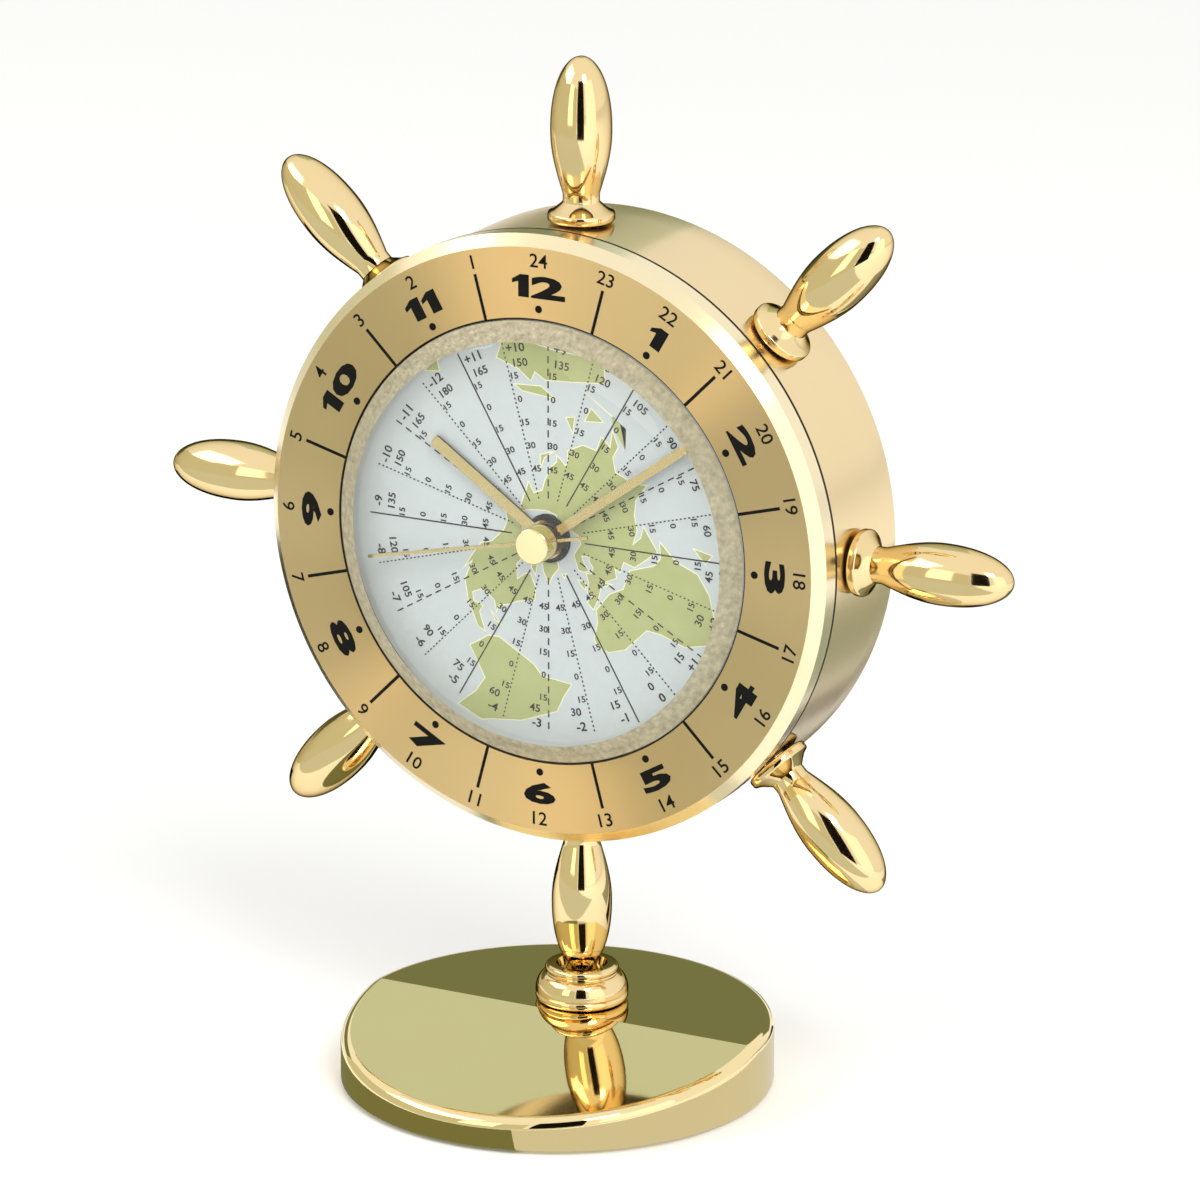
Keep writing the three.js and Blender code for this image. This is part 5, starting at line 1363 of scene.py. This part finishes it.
door_hole = rounded_block("door_hole", (door_low.x - DOOR_CLEAR, wheel_y - cover_front - DOOR_HOLE_REACH,
                                        door_low.z - DOOR_CLEAR),
                          (door_high.x + DOOR_CLEAR, wheel_y - cover_back + DOOR_HOLE_REACH,
                           door_high.z + DOOR_CLEAR), DOOR_CORNER)
shaped(cover, "DIFFERENCE", door_hole)
edges_broken(cover, MOULDED_BREAK)
finish_piece(cover, black_plastic, "case", "black_plastic", "back_cover")

# Battery door: a black moulded panel with grip ribs outside and a rib inside that keeps the cell in place. It
# snaps into the back cover and lifts straight off.
DOOR_PANEL_CORNER = 1.2 * MM
DOOR_RIB_COUNT = 3
DOOR_RIB_WIDTH = 1.2 * MM
DOOR_RIB_LENGTH = 17.5 * MM
DOOR_RIB_ROUND = 0.48
DOOR_SIGN_SIZE = 3.2 * MM
DOOR_SIGN_WIDTH = 0.8 * MM
DOOR_SIGN_PLACE = 17 * MM
DOOR_TONGUE_LENGTH = 26 * MM
DOOR_TONGUE_WIDTH = 2.4 * MM
DOOR_TONGUE_ROUND = 0.3

door_middle = (door_low.z + door_high.z) / 2
door_inside = wheel_y - (cover_front + cover_back) / 2
sign_top = wheel_y - cover_back + MOULDED_HEIGHT
sign_half = DOOR_SIGN_SIZE / 2
stroke_half = DOOR_SIGN_WIDTH / 2
door = rounded_block("battery_lid", (door_low.x, wheel_y - cover_front, door_low.z),
                     (door_high.x, wheel_y - cover_back, door_high.z), DOOR_PANEL_CORNER)


def joined_to_door(x, half_length, z, half_width, inner, outer, corner):
    # Joins a block to the door, by its middle, its half sizes and its reach from inside to outside
    block = rounded_block("door_block", (x - half_length, inner, z - half_width),
                          (x + half_length, outer, z + half_width), corner)
    shaped(door, "UNION", block)


for rib_number in range(DOOR_RIB_COUNT):
    rib_middle = door_middle + (rib_number - (DOOR_RIB_COUNT - 1) / 2) * 2 * DOOR_RIB_WIDTH
    joined_to_door(0, DOOR_RIB_LENGTH / 2, rib_middle, DOOR_RIB_WIDTH / 2, door_inside, door_high.y,
                   DOOR_RIB_WIDTH * DOOR_RIB_ROUND)
sign_strokes = [(1, sign_half, stroke_half), (1, stroke_half, sign_half), (-1, sign_half, stroke_half)]
for side, across, along in sign_strokes:
    joined_to_door(side * DOOR_SIGN_PLACE, across, door_middle, along, door_inside, sign_top, stroke_half / 2)
joined_to_door(0, DOOR_TONGUE_LENGTH / 2, door_middle, DOOR_TONGUE_WIDTH / 2, door_low.y, door_inside,
               DOOR_TONGUE_WIDTH * DOOR_TONGUE_ROUND)
edges_broken(door, MOULDED_BREAK)
finish_piece(door, black_plastic, "door", "black_plastic", "battery_door")

# Setting knob: a ribbed knob moulded from black plastic with a shallow dish in its end. It is pressed on the
# setting shaft, which reaches out through the back cover.
KNOB_RIBS = 20
KNOB_RIB_DEPTH = 0.35 * MM
KNOB_RIB_SHARE = 0.98
KNOB_RIM = 0.8 * MM
KNOB_DISH = 0.3 * MM
KNOB_BREAK = 0.1 * MM
SIDE_FACING = 0.5

deselect()
bpy.ops.mesh.primitive_cylinder_add(vertices=2 * KNOB_RIBS, radius=knob_radius - KNOB_RIB_DEPTH,
                                    depth=knob_high.y - knob_low.y)
knob = started("set_knob")


def is_rib(face):
    # Every second face round the side
    turn = math.degrees(math.atan2(face.normal.y, face.normal.x)) % 360
    return abs(face.normal.z) < SIDE_FACING and int(turn / (180 / KNOB_RIBS)) % 2 == 0


select_in(knob, "FACE", is_rib)
bpy.ops.mesh.extrude_faces_move(TRANSFORM_OT_shrink_fatten={"value": KNOB_RIB_DEPTH * KNOB_RIB_SHARE})
end_edit()
at_knob(knob, knob_middle.y)
select_in(knob, "FACE", lambda face: face.normal.y > LEVEL and face.calc_area() > knob_radius ** 2)
bpy.ops.mesh.inset(thickness=KNOB_RIM)
extruded((0, -KNOB_DISH, 0))
end_edit()
edges_broken(knob, KNOB_BREAK)
finish_piece(knob, black_plastic, "setting", "black_plastic", "setting_knob")

# Cover screws: four small machine screws turned from steel, with slotted round heads. They hold the back
# cover to the drum's ledge.
SCREW_COUNT = 4
SCREW_FACETS = 40
SCREW_SHANK_RADIUS = 0.75 * MM
SCREW_HEAD_HEIGHT = 0.7 * MM
SCREW_EDGE = 0.2 * MM
SLOT_WIDTH = 0.4 * MM
SLOT_DEPTH = 0.35 * MM
SLOT_CORNER = 0.05 * MM
SLOT_TURN = 37

for number in range(1, SCREW_COUNT + 1):
    node = "back_cover_screw_%d" % number
    screw_low, screw_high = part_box(node)
    screw_middle = (screw_low + screw_high) / 2
    head_radius = radius_of(node)
    screw_length = screw_high.y - screw_low.y
    head_foot = screw_length - SCREW_HEAD_HEIGHT
    screw = turned(node + "_slotted", [(SCREW_SHANK_RADIUS, 0), (SCREW_SHANK_RADIUS, head_foot),
                                       (head_radius, head_foot), (head_radius, screw_length - SCREW_EDGE),
                                       (head_radius - SCREW_EDGE, screw_length)], SCREW_FACETS)
    slot = rounded_block("slot", (-2 * head_radius, -SLOT_WIDTH / 2, screw_length - SLOT_DEPTH),
                         (2 * head_radius, SLOT_WIDTH / 2, screw_length + MM), SLOT_CORNER)
    shaped(screw, "DIFFERENCE", slot)
    settle(screw, (0, 0, 0), (0, 0, math.radians(SLOT_TURN * number)))
    settle(screw, (screw_middle.x, screw_low.y, screw_middle.z), (-math.pi / 2, 0, 0))
    smooth(screw)
    finish_piece(screw, steel, "case", "steel", node)
